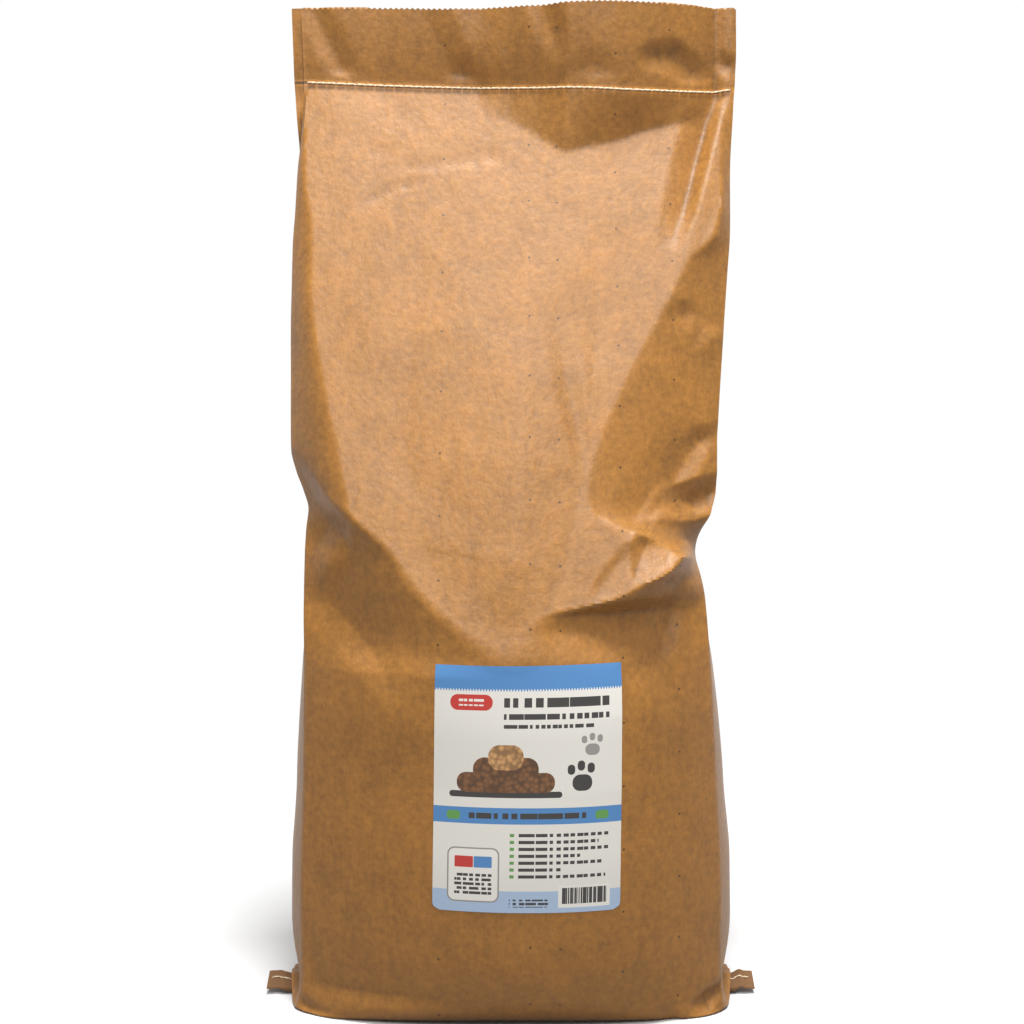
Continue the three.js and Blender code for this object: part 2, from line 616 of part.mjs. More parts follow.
// Stiff paper bridges small hollows: each patch of the label is eased forward until none of it cuts a facet
function bridgeCreases(sheet) {
  const ease = sheet.map((line) => line.map(() => 0));
  const shares = [0.2, 0.4, 0.6, 0.8];
  for (let r = 0; r < sheet.length - 1; r += 1) {
    for (let i = 0; i < sheet[r].length - 1; i += 1) {
      const patch = [[r, i], [r, i + 1], [r + 1, i], [r + 1, i + 1]];
      const [a, b, c, d] = patch.map(([row, column]) => sheet[row][column]);
      let cut = 0;
      for (const across of shares) {
        for (const up of shares) {
          const p = a.clone().lerp(b, across).lerp(c.clone().lerp(d, across), up);
          cut = Math.max(cut, p.y - frontFacet(p.x, p.z));
        }
      }
      for (const [row, column] of patch) ease[row][column] = Math.max(ease[row][column], cut);
    }
  }
  for (const [r, line] of sheet.entries()) for (const [i, p] of line.entries()) p.y -= ease[r][i];
}

function labelGeometry() {
  const columns = 14;
  const cornerRows = [0, 0.3, 1];
  const rows = [];
  for (const share of cornerRows) rows.push(LABEL_CORNER * share);
  const middleRows = 14;
  for (let i = 1; i < middleRows; i += 1) {
    rows.push(lerp(LABEL_CORNER, LABEL_HEIGHT - LABEL_CORNER, i / middleRows));
  }
  for (const share of [...cornerRows].reverse()) rows.push(LABEL_HEIGHT - LABEL_CORNER * share);
  const sheet = rows.map((up) => {
    const fromEnd = Math.min(up, LABEL_HEIGHT - up);
    const intoCorner = Math.max(0, LABEL_CORNER - fromEnd);
    const half = LABEL_WIDTH / 2 - LABEL_CORNER + Math.sqrt(LABEL_CORNER ** 2 - intoCorner ** 2);
    const z = LABEL_LOW + up;
    const line = [];
    for (let i = 0; i <= columns; i += 1) {
      const x = labelAcross(z, lerp(-half, half, i / columns));
      line.push(new THREE.Vector3(x, frontFacet(x, z), z));
    }
    return line;
  });
  bridgeCreases(sheet);
  const positions = [];
  for (const off of [LABEL_CLEAR, LABEL_CLEAR + LABEL_THICKNESS]) {
    for (const line of sheet) for (const p of line) positions.push(p.x, p.y - off, p.z);
  }
  const across = columns + 1;
  const layer = sheet.length * across;
  const index = [];
  for (let r = 0; r < sheet.length - 1; r += 1) {
    for (let i = 0; i < columns; i += 1) {
      const a = r * across + i;
      const b = a + 1;
      const c = a + across;
      const d = c + 1;
      index.push(a, d, b, a, c, d);
      index.push(layer + a, layer + b, layer + d, layer + a, layer + d, layer + c);
    }
  }
  const rim = [];
  for (let i = 0; i < columns; i += 1) rim.push(i);
  for (let r = 0; r < sheet.length - 1; r += 1) rim.push(r * across + columns);
  for (let i = columns; i > 0; i -= 1) rim.push((sheet.length - 1) * across + i);
  for (let r = sheet.length - 1; r > 0; r -= 1) rim.push(r * across);
  for (let i = 0; i < rim.length; i += 1) {
    const a = rim[i];
    const b = rim[(i + 1) % rim.length];
    index.push(a, b, layer + b, a, layer + b, layer + a);
  }
  return geometryFrom({ positions, index });
}
addPiece('label', labelGeometry(), 0xebe7df, 0.5);

// A sewing thread along a seam: full where a stitch lies on the paper, and thin and low at each needle hole.
// place(way) gives the paper's surface at a distance along the seam, and out and up are its frame. The thread
// bends where the paper does, at the distances in bends.
function threadAlong(length, place, width, thickness, bends) {
  const count = Math.floor(length / STITCH);
  const start = (length - count * STITCH) / 2;
  const fullness = (way) => {
    const within = (((way - start) % STITCH) + STITCH) % STITCH;
    return lerp(NECK, 1, clamp(Math.min(within, STITCH - within) / STITCH_END, 0, 1));
  };
  const section = (way) => {
    const { point, out, up } = place(way);
    const share = fullness(way);
    const middlePoint = point.clone().addScaledVector(out, CLEAR + (share * thickness) / 2);
    const corner = (o, v) => middlePoint.clone().addScaledVector(out, o).addScaledVector(up, v);
    const [high, wide] = [(share * thickness) / 2, (share * width) / 2];
    return [corner(high, 0), corner(0, -wide), corner(-high, 0), corner(0, wide)];
  };
  const ways = [start];
  for (let s = 0; s < count; s += 1) {
    const from = start + s * STITCH;
    ways.push(from + STITCH_END, from + STITCH - STITCH_END, from + STITCH);
  }
  const apart = STITCH_END / 3;
  const free = (bend) => ways.every((way) => Math.abs(way - bend) > apart);
  const within = (bend) => bend > start && bend < start + count * STITCH;
  for (const bend of bends) if (within(bend) && free(bend)) ways.push(bend);
  ways.sort((a, b) => a - b);
  return geometryFrom(tubeFrom(ways.map(section)));
}

// The frame of a place on a seam. lines(way) gives a point on each edge of the flat band that carries it.
function seamFrame(lines, way, facing) {
  const reach = 1;
  const centre = (place) => {
    const [low, high] = lines(place);
    return low.lerp(high, SEAM_LINE);
  };
  const [low, high] = lines(way);
  const along = centre(way + reach).sub(centre(way - reach)).normalize();
  const out = new THREE.Vector3().crossVectors(along, high.clone().sub(low)).normalize();
  if (out.dot(facing) < 0) out.negate();
  const up = new THREE.Vector3().crossVectors(out, along).normalize();
  return { point: centre(way), out, up };
}

// The mouth is sewn through all its plies with a chain stitch: single threads in front, loops behind
const seamLow = sackRings[BOTTOM.length + seamBand];
const seamHigh = sackRings[BOTTOM.length + seamBand + 1];
function mouthStitches([first, last], facing, width, thickness) {
  const columns = Array.from({ length: last - first + 1 }, (_, i) => first + i);
  const crossings = columns.map((i) => lerp(seamLow[i].x, seamHigh[i].x, SEAM_LINE)).sort((a, b) => a - b);
  const left = crossings[0];
  const length = crossings[crossings.length - 1] - left - 2 * SEAM_MARGIN;
  const lines = (way) => {
    const x = left + SEAM_MARGIN + way;
    return [alongSheet(seamLow, first, last, x), alongSheet(seamHigh, first, last, x)];
  };
  const bends = crossings.flatMap((x, i) => (i ? [(x + crossings[i - 1]) / 2, x] : [x]));
  const ways = bends.map((x) => x - left - SEAM_MARGIN);
  return threadAlong(length, (way) => seamFrame(lines, way, facing), width, thickness, ways);
}
const FORWARD = new THREE.Vector3(0, -1, 0);
const BACKWARD = new THREE.Vector3(0, 1, 0);
const FRONT_SHEET = [0, FRONT_LAST];
const BACK_SHEET = [BACK_FIRST, BACK_LAST];
addPiece('top_needle_thread', mouthStitches(FRONT_SHEET, FORWARD, THREAD, THREAD), 0xe6dcc6, 0.8);
addPiece('top_looper_thread', mouthStitches(BACK_SHEET, BACKWARD, CHAIN_WIDTH, THREAD), 0xe6dcc6, 0.8);

// The bottom seam's section at x: its root and free edge, above and below
function finAt(x) {
  const within = clamp(x, -HALF + 0.01, HALF - 0.01);
  const beyond = Math.abs(x - within);
  const closing = smooth(beyond, 0, TAPE_TAIL / 2);
  const [edge, root] = [sackRings[0], sackRings[1]];
  const corners = {
    edgeTop: frontPoint(edge, within),
    rootTop: frontPoint(root, within),
    edgeUnder: backPoint(edge, within),
    rootUnder: backPoint(root, within),
  };
  for (const [top, under] of [['edgeTop', 'edgeUnder'], ['rootTop', 'rootUnder']]) {
    const half = corners[top].clone().add(corners[under]).multiplyScalar(0.5);
    corners[top].lerp(half, closing);
    corners[under].lerp(half, closing);
    corners[top].x = x;
    corners[under].x = x;
  }
  return corners;
}

// The tape folded over the seam's free edge, with a tail past each end of the sack
function tapeSection(x) {
  const { edgeTop, rootTop, edgeUnder, rootUnder } = finAt(x);
  const inward = rootTop.clone().sub(edgeTop).normalize();
  const outOver = new THREE.Vector3(0, -inward.z, inward.y);
  const inwardUnder = rootUnder.clone().sub(edgeUnder).normalize();
  const outUnder = new THREE.Vector3(0, inwardUnder.z, -inwardUnder.y);
  const at = (point, along, way, out, off) => {
    return point.clone().addScaledVector(along, way).addScaledVector(out, off);
  };
  const far = CLEAR + TAPE_THICKNESS;
  return [
    at(edgeTop, inward, TAPE_COVER, outOver, far),
    at(edgeTop, inward, 0, outOver, far),
    at(edgeTop, inward, -far, outOver, 0),
    at(edgeUnder, inwardUnder, -far, outUnder, 0),
    at(edgeUnder, inwardUnder, 0, outUnder, far),
    at(edgeUnder, inwardUnder, TAPE_COVER, outUnder, far),
    at(edgeUnder, inwardUnder, TAPE_COVER, outUnder, CLEAR),
    at(edgeUnder, inwardUnder, 0, outUnder, CLEAR),
    at(edgeUnder, inwardUnder, -CLEAR, outUnder, 0),
    at(edgeTop, inward, -CLEAR, outOver, 0),
    at(edgeTop, inward, 0, outOver, CLEAR),
    at(edgeTop, inward, TAPE_COVER, outOver, CLEAR),
  ];
}
const tapePlaces = sackRings[0].slice(0, FRONT_STEPS + 1).map((p) => p.x);
for (const share of [0.35, 0.7, 1]) {
  tapePlaces.unshift(-HALF - share * TAPE_TAIL);
  tapePlaces.push(HALF + share * TAPE_TAIL);
}
addPiece('bottom_tape', geometryFrom(tubeFrom(tapePlaces.map(tapeSection))), 0x8a6b45, 0.85);

// The bottom is sewn through the tape: single threads above, loops underneath
function finStitches(upper, width, thickness) {
  const length = 2 * (HALF + TAPE_TAIL - SEAM_MARGIN);
  const lines = (way) => {
    const section = tapeSection(way - length / 2);
    return upper ? [section[1], section[0]] : [section[4], section[5]];
  };
  const facing = new THREE.Vector3(0, 0, upper ? 1 : -1);
  return threadAlong(length, (way) => seamFrame(lines, way, facing), width, thickness, []);
}
addPiece('bottom_needle_thread', finStitches(true, THREAD, THREAD), 0xe6dcc6, 0.8);
addPiece('bottom_looper_thread', finStitches(false, CHAIN_WIDTH, THREAD), 0xe6dcc6, 0.8);

export default group;
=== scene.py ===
"""A tall kraft paper sack of pelleted ferret litter, sewn shut at both ends, with a front label.

The sack is one lofted paper skin, the label a stuck-on sheet, and the sewing and the crepe tape are strands
and a folded strip on its seams. The shape functions work in millimetres round the middle plane of the
folded-under bottom, and each piece is turned to metres and set back into the frame when its mesh is made.
"""

import math

import bpy
import numpy as np
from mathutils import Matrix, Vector


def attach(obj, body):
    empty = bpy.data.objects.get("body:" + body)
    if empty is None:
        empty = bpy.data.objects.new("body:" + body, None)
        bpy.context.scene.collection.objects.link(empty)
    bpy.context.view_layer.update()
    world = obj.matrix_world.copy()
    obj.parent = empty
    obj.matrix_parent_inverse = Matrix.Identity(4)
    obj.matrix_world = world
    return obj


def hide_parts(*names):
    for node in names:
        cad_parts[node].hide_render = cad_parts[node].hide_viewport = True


bl_info = {
    "name": "Ferret litter sack",
    "version": (1, 0, 0),
    "blender": (4, 5, 0),
    "location": "3D View > Sidebar > Sack",
    "description": "Dresses the packed litter sack in kraft paper, label, sewing and tape",
    "category": "Object",
}

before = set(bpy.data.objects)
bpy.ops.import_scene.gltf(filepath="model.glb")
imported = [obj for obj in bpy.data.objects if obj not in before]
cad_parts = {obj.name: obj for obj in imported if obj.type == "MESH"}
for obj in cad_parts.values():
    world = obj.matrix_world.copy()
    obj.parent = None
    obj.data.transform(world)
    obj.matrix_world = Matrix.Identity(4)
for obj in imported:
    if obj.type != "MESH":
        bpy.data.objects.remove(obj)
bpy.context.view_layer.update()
MM = 0.001

# Flat paper tube
FACE = 381
GUSSET = 127
PLY = 1.1
FLAP = 71
HALF = FACE / 2
TUCK = GUSSET / 2

# Filled sack
SEAM_HEIGHT = 782
SEAM_SETBACK = 38
BELLY_FRONT = 131
BELLY_BACK = 118
BASE_FRONT = 80
BASE_BACK = 84
SHEET_SHIFT = 9
FOLD_LIFT = 60
RIDGE_ROUND = 4
CREASE_ROUND = 2.4

# Closures
SEAM_THICKNESS = 2.6
SEAM_BAND = 4
MOUTH_THICKNESS = 5
FIN = 22
FIN_THICKNESS = 2.2
FIN_END_RISE = 7
TAPE_COVER = 20
TAPE_TAIL = 19
TAPE_THICKNESS = 0.45
CLEAR = 0.3
THREAD = 1.2
STITCH = 8.5
SEAM_MARGIN = 3
SEAM_STEP = 2.0

# Strands of the threads: radius, dip at the needle holes, sway, and where in its sway each starts
MOUTH_NEEDLE = [(THREAD * 0.7, 1.2, 0, 0)]
FIN_NEEDLE = [(THREAD / 2, 1.0, 0, 0)]
LOOPER = [(0.45, 0.2, 0.8, 0), (0.45, 0.2, 0.8, math.pi)]
STRAND_SIDES = 8
STRAND_STEP = 0.6
TWIST_LENGTH = 5
PLY_WAIST = 0.9
PLY_BULGE = 0.16
HOLE_REACH = 1.6

# Adhesive label
LABEL_WIDTH = 152
LABEL_HEIGHT = 196
LABEL_LOW = 103.5
LABEL_MIDDLE = 13.7
LABEL_TILT = 0.015
LABEL_CLEAR = 0.25
LABEL_THICKNESS = 0.3
LABEL_SOLID = 0.8
LABEL_CALM = 14
LABEL_COLUMNS = 60
LABEL_ROWS = 80

FIN_BOTTOM = THREAD + TAPE_THICKNESS + 3 * CLEAR
FIN_TOP = FIN_BOTTOM + FIN_THICKNESS
FIN_COVER = FIN_TOP + TAPE_THICKNESS + THREAD + 4 * CLEAR
FIN_MIDDLE = FIN_BOTTOM + FIN_THICKNESS / 2
SET_BACK = (BELLY_FRONT + LABEL_SOLID - BELLY_BACK) / 2

# Heights below are shares of SEAM_HEIGHT, and x places are shares of half the FACE.
# Edge folds of the front sheet, where it turns into the gussets
LEFT_EDGE = [
    (0.038, -0.913), (0.128, -0.916), (0.256, -0.903), (0.352, -0.9), (0.441, -0.908),
    (0.512, -0.906), (0.533, -0.9), (0.555, -0.924), (0.575, -0.955), (0.598, -0.976),
    (0.665, -0.982), (0.754, -0.99), (0.818, -0.99), (0.862, -0.982), (0.908, -0.976),
    (0.946, -0.963), (1, -0.955), (1.092, -0.963),
]
RIGHT_EDGE = [
    (0.038, 0.913), (0.128, 0.916), (0.256, 0.892), (0.352, 0.874), (0.441, 0.85),
    (0.463, 0.835), (0.486, 0.816), (0.509, 0.84), (0.533, 0.887), (0.555, 0.911),
    (0.601, 0.916), (0.708, 0.948), (0.795, 0.979), (0.838, 0.995), (0.908, 1.003),
    (0.977, 1.024), (1.033, 1.037), (1.092, 1.034),
]
# Middle fold of the gussets, measured out from the edge fold
GUSSET_OUT = [
    (0.038, 0.081), (0.128, 0.073), (0.256, 0.063), (0.352, 0.042), (0.396, 0.016),
    (0.441, -0.042), (0.486, -0.136), (0.537, -0.226), (0.639, -0.278), (0.767, -0.31), (0.991, -0.331),
]
# Half the distance between the front and back edge folds, as shares of TUCK
HALF_DEPTH = [
    (0.038, 1), (0.32, 0.99), (0.422, 0.85), (0.512, 0.69), (0.639, 0.535), (0.767, 0.38),
    (0.895, 0.19), (0.992, 0.022),
]
# How far the gussets lean back, as shares of SEAM_SETBACK
LEAN = [(0.422, 0), (0.512, 0.08), (0.639, 0.26), (0.767, 0.55), (0.895, 0.82), (0.992, 1)]
# Fullness of the front, as shares of BELLY_FRONT
FRONT_BELLY = [
    (0.035, 0.872), (0.058, 0.925), (0.077, 0.955), (0.128, 0.985), (0.192, 1), (0.307, 1),
    (0.391, 0.977), (0.512, 0.97),
]
# How the front curves from its crest to each edge: 1 is straight, 2 is round, and more is boxy
LEFT_POINT = [
    (0.37, 1.95), (0.398, 1.5), (0.416, 1.45), (0.438, 1.52), (0.454, 1.63), (0.487, 1.73), (0.509, 2.07),
    (0.529, 2.86), (0.56, 4),
]
RIGHT_POINT = [
    (0.33, 2.25), (0.38, 2.02), (0.4, 1.6), (0.417, 1.36), (0.43, 1.42), (0.439, 1.9), (0.448, 2.8),
    (0.463, 4.1), (0.473, 6.5), (0.49, 12),
]
# Crest of the rounded front, the foot of the long slope, and the ridges beside that slope
FRONT_CREST = [(0.256, 0.063), (0.384, -0.021), (0.428, -0.073)]
SLOPE_FOOT = 0.435
SLOPE_FOOT_DEPTH = 116
LEFT_RIDGE = [
    (0.384, -0.672), (0.529, -0.688), (0.581, -0.724), (0.653, -0.798), (0.728, -0.861),
    (0.771, -0.887), (0.838, -0.892), (0.895, -0.934), (1, -0.95),
]
RIGHT_RIDGE = [
    (0.436, 0.76), (0.485, 0.74), (0.5, 0.66), (0.511, 0.57), (0.523, 0.43), (0.533, 0.35), (0.547, 0.325),
    (0.572, 0.336), (0.628, 0.415), (0.696, 0.546), (0.751, 0.68), (0.785, 0.751), (0.805, 0.8),
    (0.832, 0.91), (0.87, 0.95), (0.997, 0.965),
]
# Fullness of the back, as shares of BELLY_BACK
BACK_BELLY = [
    (0.033, 0.93), (0.077, 0.985), (0.166, 1), (0.281, 1), (0.435, 0.94), (0.537, 0.84), (0.639, 0.73),
    (0.767, 0.6), (0.895, 0.46), (0.992, 0.36),
]
BACK_POINT = 2.2
# Height shares between which the sheets are pressed together, shifted and lifted
BACK_PRESS = (0.914, 0.996)
GUSSET_PRESS = (0.882, 0.992)
SHIFT_RISE = (0.895, 1.01)
LIFT_FADE = (0.026, 0.243)
WALL_FOOT = 0.035
# Lean of the flap at its top, and the waves of the mouth seam and of the free edge, along x
FLAP_LEAN = [(-0.997, 6.5), (-0.367, 9.5), (-0.131, 11.5), (0.184, 10.5), (0.735, 6), (0.997, 3.5)]
FLAP_CURL = 0.6
MEETING = 0.99
GUSSET_ARCH = 30
FOOT_RING = 12.8
OUTER_BASE = (52, 64)
SEAM_WAVE = [(-0.971, 7), (-0.51, 3.4), (-0.04, 0.5), (0.28, -2.4), (0.54, -4.2), (0.78, -3.6), (1.024, 0)]
EDGE_WAVE = [(-0.971, 0), (-0.472, -1), (-0.262, -2.5), (0.026, -2), (0.315, -1.5), (0.787, 0)]

# Folds pressed into the sheets: how crisp each is, and its line of (x, height, rise, reach above, reach
# below), all in millimetres. On a steep line the reach above is the one on its left.
FRONT_FOLDS = [
    # The bulge that hangs under the right half of the mouth seam
    (1, [(-28, 779, 0, 12, 16), (0, 781, 6, 12, 26), (26, 782, 15, 12, 42), (48, 782, 25, 12, 56),
         (72, 780, 28, 12, 47), (90, 780, 27, 12, 42), (106, 780, 24, 12, 37), (118, 779, 21, 12, 32),
         (132, 778, 17, 12, 28), (145, 777, 12, 12, 24), (166, 776, 4, 12, 16), (178, 775, 0, 12, 12)]),
    # The valley down from the mouth's right corner, and the ridge beside it
    (1.3, [(184, 786, 0, 12, 8), (180, 776, -5, 16, 9), (170, 748, -8, 20, 9), (159, 709, -8, 20, 9),
           (149, 673, -5, 18, 9), (134, 637, 0, 12, 8)]),
    (1.4, [(182, 752, 0, 9, 9), (175, 728, 1.5, 11, 12), (163, 682, 2, 11, 14), (150, 640, 1.2, 10, 12),
           (140, 612, 0, 8, 8)]),
    # Dents along the right edge
    (1.2, [(126, 578, 0, 10, 12), (147, 583, -3.5, 11, 15), (168, 580, 0, 8, 10)]),
    (1.2, [(158, 542, 0, 10, 10), (171, 563, 3, 10, 15), (184, 572, 0, 8, 8)]),
    (1.2, [(146, 463, 0, 10, 10), (160, 476, -4, 11, 12), (176, 481, -2, 10, 12), (188, 483, 0, 8, 8)]),
    # Soft rise of the slope left of its middle, and the soft valley right of it
    (1, [(14, 680, 0, 80, 60), (9, 560, 5, 90, 60), (8, 460, 6.5, 90, 50), (2, 380, 4, 70, 40),
         (-8, 330, 0, 40, 30)]),
    (1.3, [(34, 585, 0, 10, 9), (44, 545, -1.4, 15, 12), (50, 508, -2, 16, 12), (57, 477, -1.4, 14, 10),
           (60, 448, 0, 10, 8)]),
    (1.3, [(52, 572, 0, 9, 9), (59, 530, 1, 12, 14), (66, 492, 1, 12, 12), (66, 455, 0, 8, 8)]),
    # The dark facet's line, its thin bright edge, and the pillow at the right edge
    (1.1, [(160, 490, 0, 26, 12), (146, 462, -6, 30, 16), (132, 438, -7, 32, 14), (119, 424, -5, 30, 9),
           (106, 406, -4, 26, 6), (99, 394, 0, 20, 6)]),
    (1.3, [(134, 441, 0, 5, 6), (122, 430, 3, 7, 9), (110, 412, 3.5, 7, 9), (102, 400, 1.5, 6, 8),
           (97, 393, 0, 5, 6)]),
    # The two notches and the shelf at the right waist
    (1, [(126, 423, 0, 6, 8), (138, 425, -8, 12, 14), (152, 426, -12, 15, 15), (164, 429, -11, 16, 14),
         (176, 436, -6, 11, 10)]),
    (1.2, [(110, 409, 0, 7, 8), (120, 410, 3, 9, 12), (158, 409, 4, 10, 14), (172, 408, 4, 10, 14)]),
    (1, [(98, 396, 0, 8, 10), (108, 392, -7, 16, 26), (126, 393, -11, 18, 32), (148, 394, -14, 19, 34),
         (170, 392, -15, 20, 34)]),
    # The lens under them: its crisp left edge, lower edge and inner crease
    (1.1, [(98, 394, 0, 5, 7), (90, 381, -1.6, 6, 18), (73, 359, -1.8, 6, 20), (60, 341, 0, 5, 8)]),
    (1.3, [(60, 340, 0.6, 16, 10), (80, 343, 2, 24, 18), (106, 360, 2, 26, 20), (130, 368, 1.6, 22, 18),
           (147, 383, 0, 10, 10)]),
    (1.2, [(98, 376, 0, 4, 5), (104, 366, -1.2, 5, 6), (107, 356, 0, 4, 4)]),
    # The soft valley down the right side of the body, and the dent above the label's right corner
    (1.2, [(148, 380, 0, 10, 10), (135, 358, -4, 13, 13), (130, 336, -5.5, 16, 14), (121, 308, -4, 16, 14),
           (110, 284, 0, 12, 12)]),
    (1.2, [(88, 306, 0, 14, 16), (104, 298, -3.5, 20, 20), (124, 291, -2.5, 18, 20), (140, 290, 0, 12, 14)]),
    # The crevice under the left shoulder, and the facet below it
    (1, [(-190, 462, -2, 8, 10), (-174, 441, -8, 10, 22), (-163, 424, -12, 11, 36), (-149, 409, -13, 11, 32),
         (-140, 403, -9, 9, 20), (-131, 407, 0, 7, 8)]),
    (1.2, [(-131, 405, 0, 8, 8), (-140, 392, 4, 12, 12), (-150, 374, 5, 14, 14), (-160, 352, 0, 10, 10)]),
    # The second fold of the left side: a dark valley under the ridge, and a pale ridge under that
    (1.1, [(-176, 346, 0, 14, 14), (-160, 344, -4, 28, 22), (-145, 340, -7, 46, 26), (-130, 327, -8, 52, 26),
           (-115, 311, -6.5, 46, 24), (-100, 290, -4, 36, 18), (-86, 268, 0, 18, 10)]),
    # Thin creases and puckers under the mouth seam
    (1, [(-136, 673, 0, 5, 5), (-118, 684, -1, 6, 6), (-98, 694, -1.1, 6, 6), (-66, 702, 0, 5, 5)]),
    (1, [(-104, 709, 0, 4, 4), (-84, 712, -0.7, 6, 6), (-40, 717, -0.5, 6, 6), (10, 715, 0, 5, 5)]),
    (1, [(-127, 721, 0, 4, 4), (-113, 726, -0.7, 5, 5), (-100, 729, 0, 4, 4)]),
    (1, [(-32, 727, 0, 5, 6), (-18, 723, -1, 7, 8), (-4, 719, 0, 5, 6)]),
]
# Soft waves and dents of the flap above the mouth seam
FLAP_FOLDS = [
    (1.2, [(-172, 852, -2, 12, 12), (-160, 825, -3.5, 16, 14), (-148, 800, -3, 14, 12),
           (-140, 786, 0, 10, 10)]),
    (1.1, [(-52, 853, 3, 24, 22), (-38, 820, 3.5, 22, 18), (-25, 788, 1.5, 16, 14)]),
    (1.2, [(-14, 830, 0, 4, 4), (-9, 808, 1.3, 5, 6), (-6, 788, 0, 4, 4)]),
    (1.1, [(-62, 800, 0, 10, 10), (-42, 797, -3, 12, 12), (-26, 790, -1.5, 10, 10)]),
    (1.1, [(28, 853, -3, 11, 14), (37, 826, -3.5, 11, 14), (44, 802, 0, 8, 8)]),
    (1, [(108, 802, 0, 7, 9), (127, 809, -6, 9, 16), (143, 811, -7.5, 9, 20), (159, 797, -6, 12, 16),
         (173, 784, 0, 9, 9)]),
    (1.1, [(44, 792, 0, 8, 10), (72, 797, -2, 16, 14), (100, 788, 0, 8, 8)]),
    (1.1, [(181, 814, 0, 6, 6), (190, 804, -4, 9, 9), (198, 796, -2, 8, 8)]),
]
# The pocket and the crease at the right corner of the base, and the crease of the left corner
BASE_FOLDS = [
    (1, [(182, 24, 0, 5, 5), (171, 19, -5, 6, 8), (160, 13, -6, 6, 9), (148, 8, 0, 5, 5)]),
    (1.2, [(118, 12, 0, 5, 5), (127, 6, -2.5, 6, 6), (134, 2, -2, 6, 6)]),
    (1.2, [(-178, 10, -3, 6, 6), (-166, 4, -3, 6, 6), (-146, 1, 0, 6, 6)]),
]
# Soft folds of the back
BACK_FOLDS = [
    (1.3, [(-150, 690, 0, 40, 40), (-96, 560, 12, 60, 50), (-52, 440, 12, 60, 50), (-30, 380, 0, 30, 30)]),
    (1.2, [(-176, 396, -8, 26, 26), (-90, 404, -6, 24, 26), (20, 392, 0, 16, 16)]),
    (1.2, [(60, 420, 0, 20, 20), (120, 408, -8, 26, 26), (178, 398, -10, 26, 26)]),
]

# Waves that the filling leaves in the paper: height, spacing and seed of each layer
FRONT_WAVES = ((0.8, 52, 1), (0.25, 19, 2))
FRONT_GRAIN = (0.07, 6, 3)
BACK_WAVES = ((1.2, 58, 4), (0.3, 21, 5))
GUSSET_WAVES = ((0.8, 34, 6),)
CREPE_WAVES = ((0.12, 1.3, 8),)
TAIL_RISE = ((1.5, 6, 9),)
TAIL_SWAY = ((1.6, 5, 10),)
# How much a tape tail lifts at the fin's free edge and at its root, and how soon past the paper it is loose
TAIL_LIFT = (1.5, 4.5)
TAIL_LOOSE = 9

# How finely the paper skin is made: steps round it, and its rings from one share of the height to the next
FRONT_STEPS = 160
GUSSET_STEPS = 20
BACK_STEPS = 80
FLAP_STEPS = 24
WALL_PARTS = ((WALL_FOOT, 0.35, 58), (0.35, 0.58, 88), (0.58, 0.982, 90))
SMOOTH_ANGLE = math.radians(38)
FULL_CREASE = 0.35

# The label's spot colours, and the height and right end of each of its rows of plain marks
SPOT_COLOURS = {
    "blue": "#4E80B4", "pale blue": "#A3B6CE", "red": "#B8372F", "green": "#5C8F4A", "ink": "#33302E",
    "grey": "#8E8A86", "tan": "#B88A5A", "brown": "#6E4A2C", "white": "#E0DCD4",
}
TICK_ROWS = ((61, 141), (55.5, 133), (50, 141), (44.5, 118), (39, 137), (33.5, 104), (28, 139))
# Printed on the label, in millimetres from its left and lower edges: colour, box (left, low, right, top),
# corner radius, and the length and pitch of its dashes where the box is a block of small marks
PRINT = [
    ("blue", (-2, 177, 154, 198), 0.3, None),
    ("pale blue", (-2, -2, 154, 17.5), 0.3, None),
    ("blue", (-2, 71, 154, 84), 0.3, None),
    ("green", (11, 74, 22, 81), 2.5, None),
    ("green", (130, 74, 141, 81), 2.5, None),
    ("ink", (29, 75.2, 123, 79.8), 0.3, (7, 400)),
    ("red", (13, 161, 47, 173.5), 6, None),
    ("white", (20, 164.5, 40, 170), 0.3, (4, 6)),
    ("ink", (56, 163.5, 141, 171), 0.5, (9, 400)),
    ("ink", (56, 154, 141, 158.5), 0.3, (6, 400)),
    ("ink", (56, 147, 128, 150), 0.3, (4.5, 400)),
    ("ink", (13, 92, 103, 97), 2.4, None),
    ("brown", (19, 96, 97, 112), 7.5, None),
    ("brown", (32, 104, 84, 124), 9, None),
    ("tan", (44, 114, 72, 134), 9, None),
    ("ink", (111, 97, 127, 110), 6, None),
    ("ink", (107, 110, 113, 118), 2.9, None),
    ("ink", (115, 113, 121, 121), 2.9, None),
    ("ink", (123, 111, 129, 119), 2.9, None),
    ("grey", (121, 125, 133, 134), 4.4, None),
    ("grey", (118, 134.5, 122.5, 140.5), 2.2, None),
    ("grey", (124.5, 136.5, 129, 142.5), 2.2, None),
    ("grey", (131, 135, 135.5, 141), 2.2, None),
    ("grey", (12, 8, 54, 52), 6, None),
    ("white", (13.2, 9.2, 52.8, 50.8), 5, None),
    ("red", (18, 36, 33, 45), 0.8, None),
    ("blue", (33.5, 36, 48, 45), 0.8, None),
    ("ink", (18, 14, 48, 32), 0.3, (5, 3.6)),
    ("white", (101, 4, 143, 22), 0.5, None),
    ("ink", (104, 7, 140, 20), 0.3, (1.7, 400)),
    ("ink", (62, 4.5, 93, 11), 0.3, (5, 3.2)),
]
for row_low, row_end in TICK_ROWS:
    PRINT.append(("green", (62, row_low, 65.5, row_low + 2.6), 0.4, None))
    PRINT.append(("ink", (69, row_low, row_end, row_low + 2.6), 0.2, (5.5, 400)))
# Width of one scallop of the top band's edge, and of one pellet of the heap
SCALLOP = 2.3
PELLET = 4.2

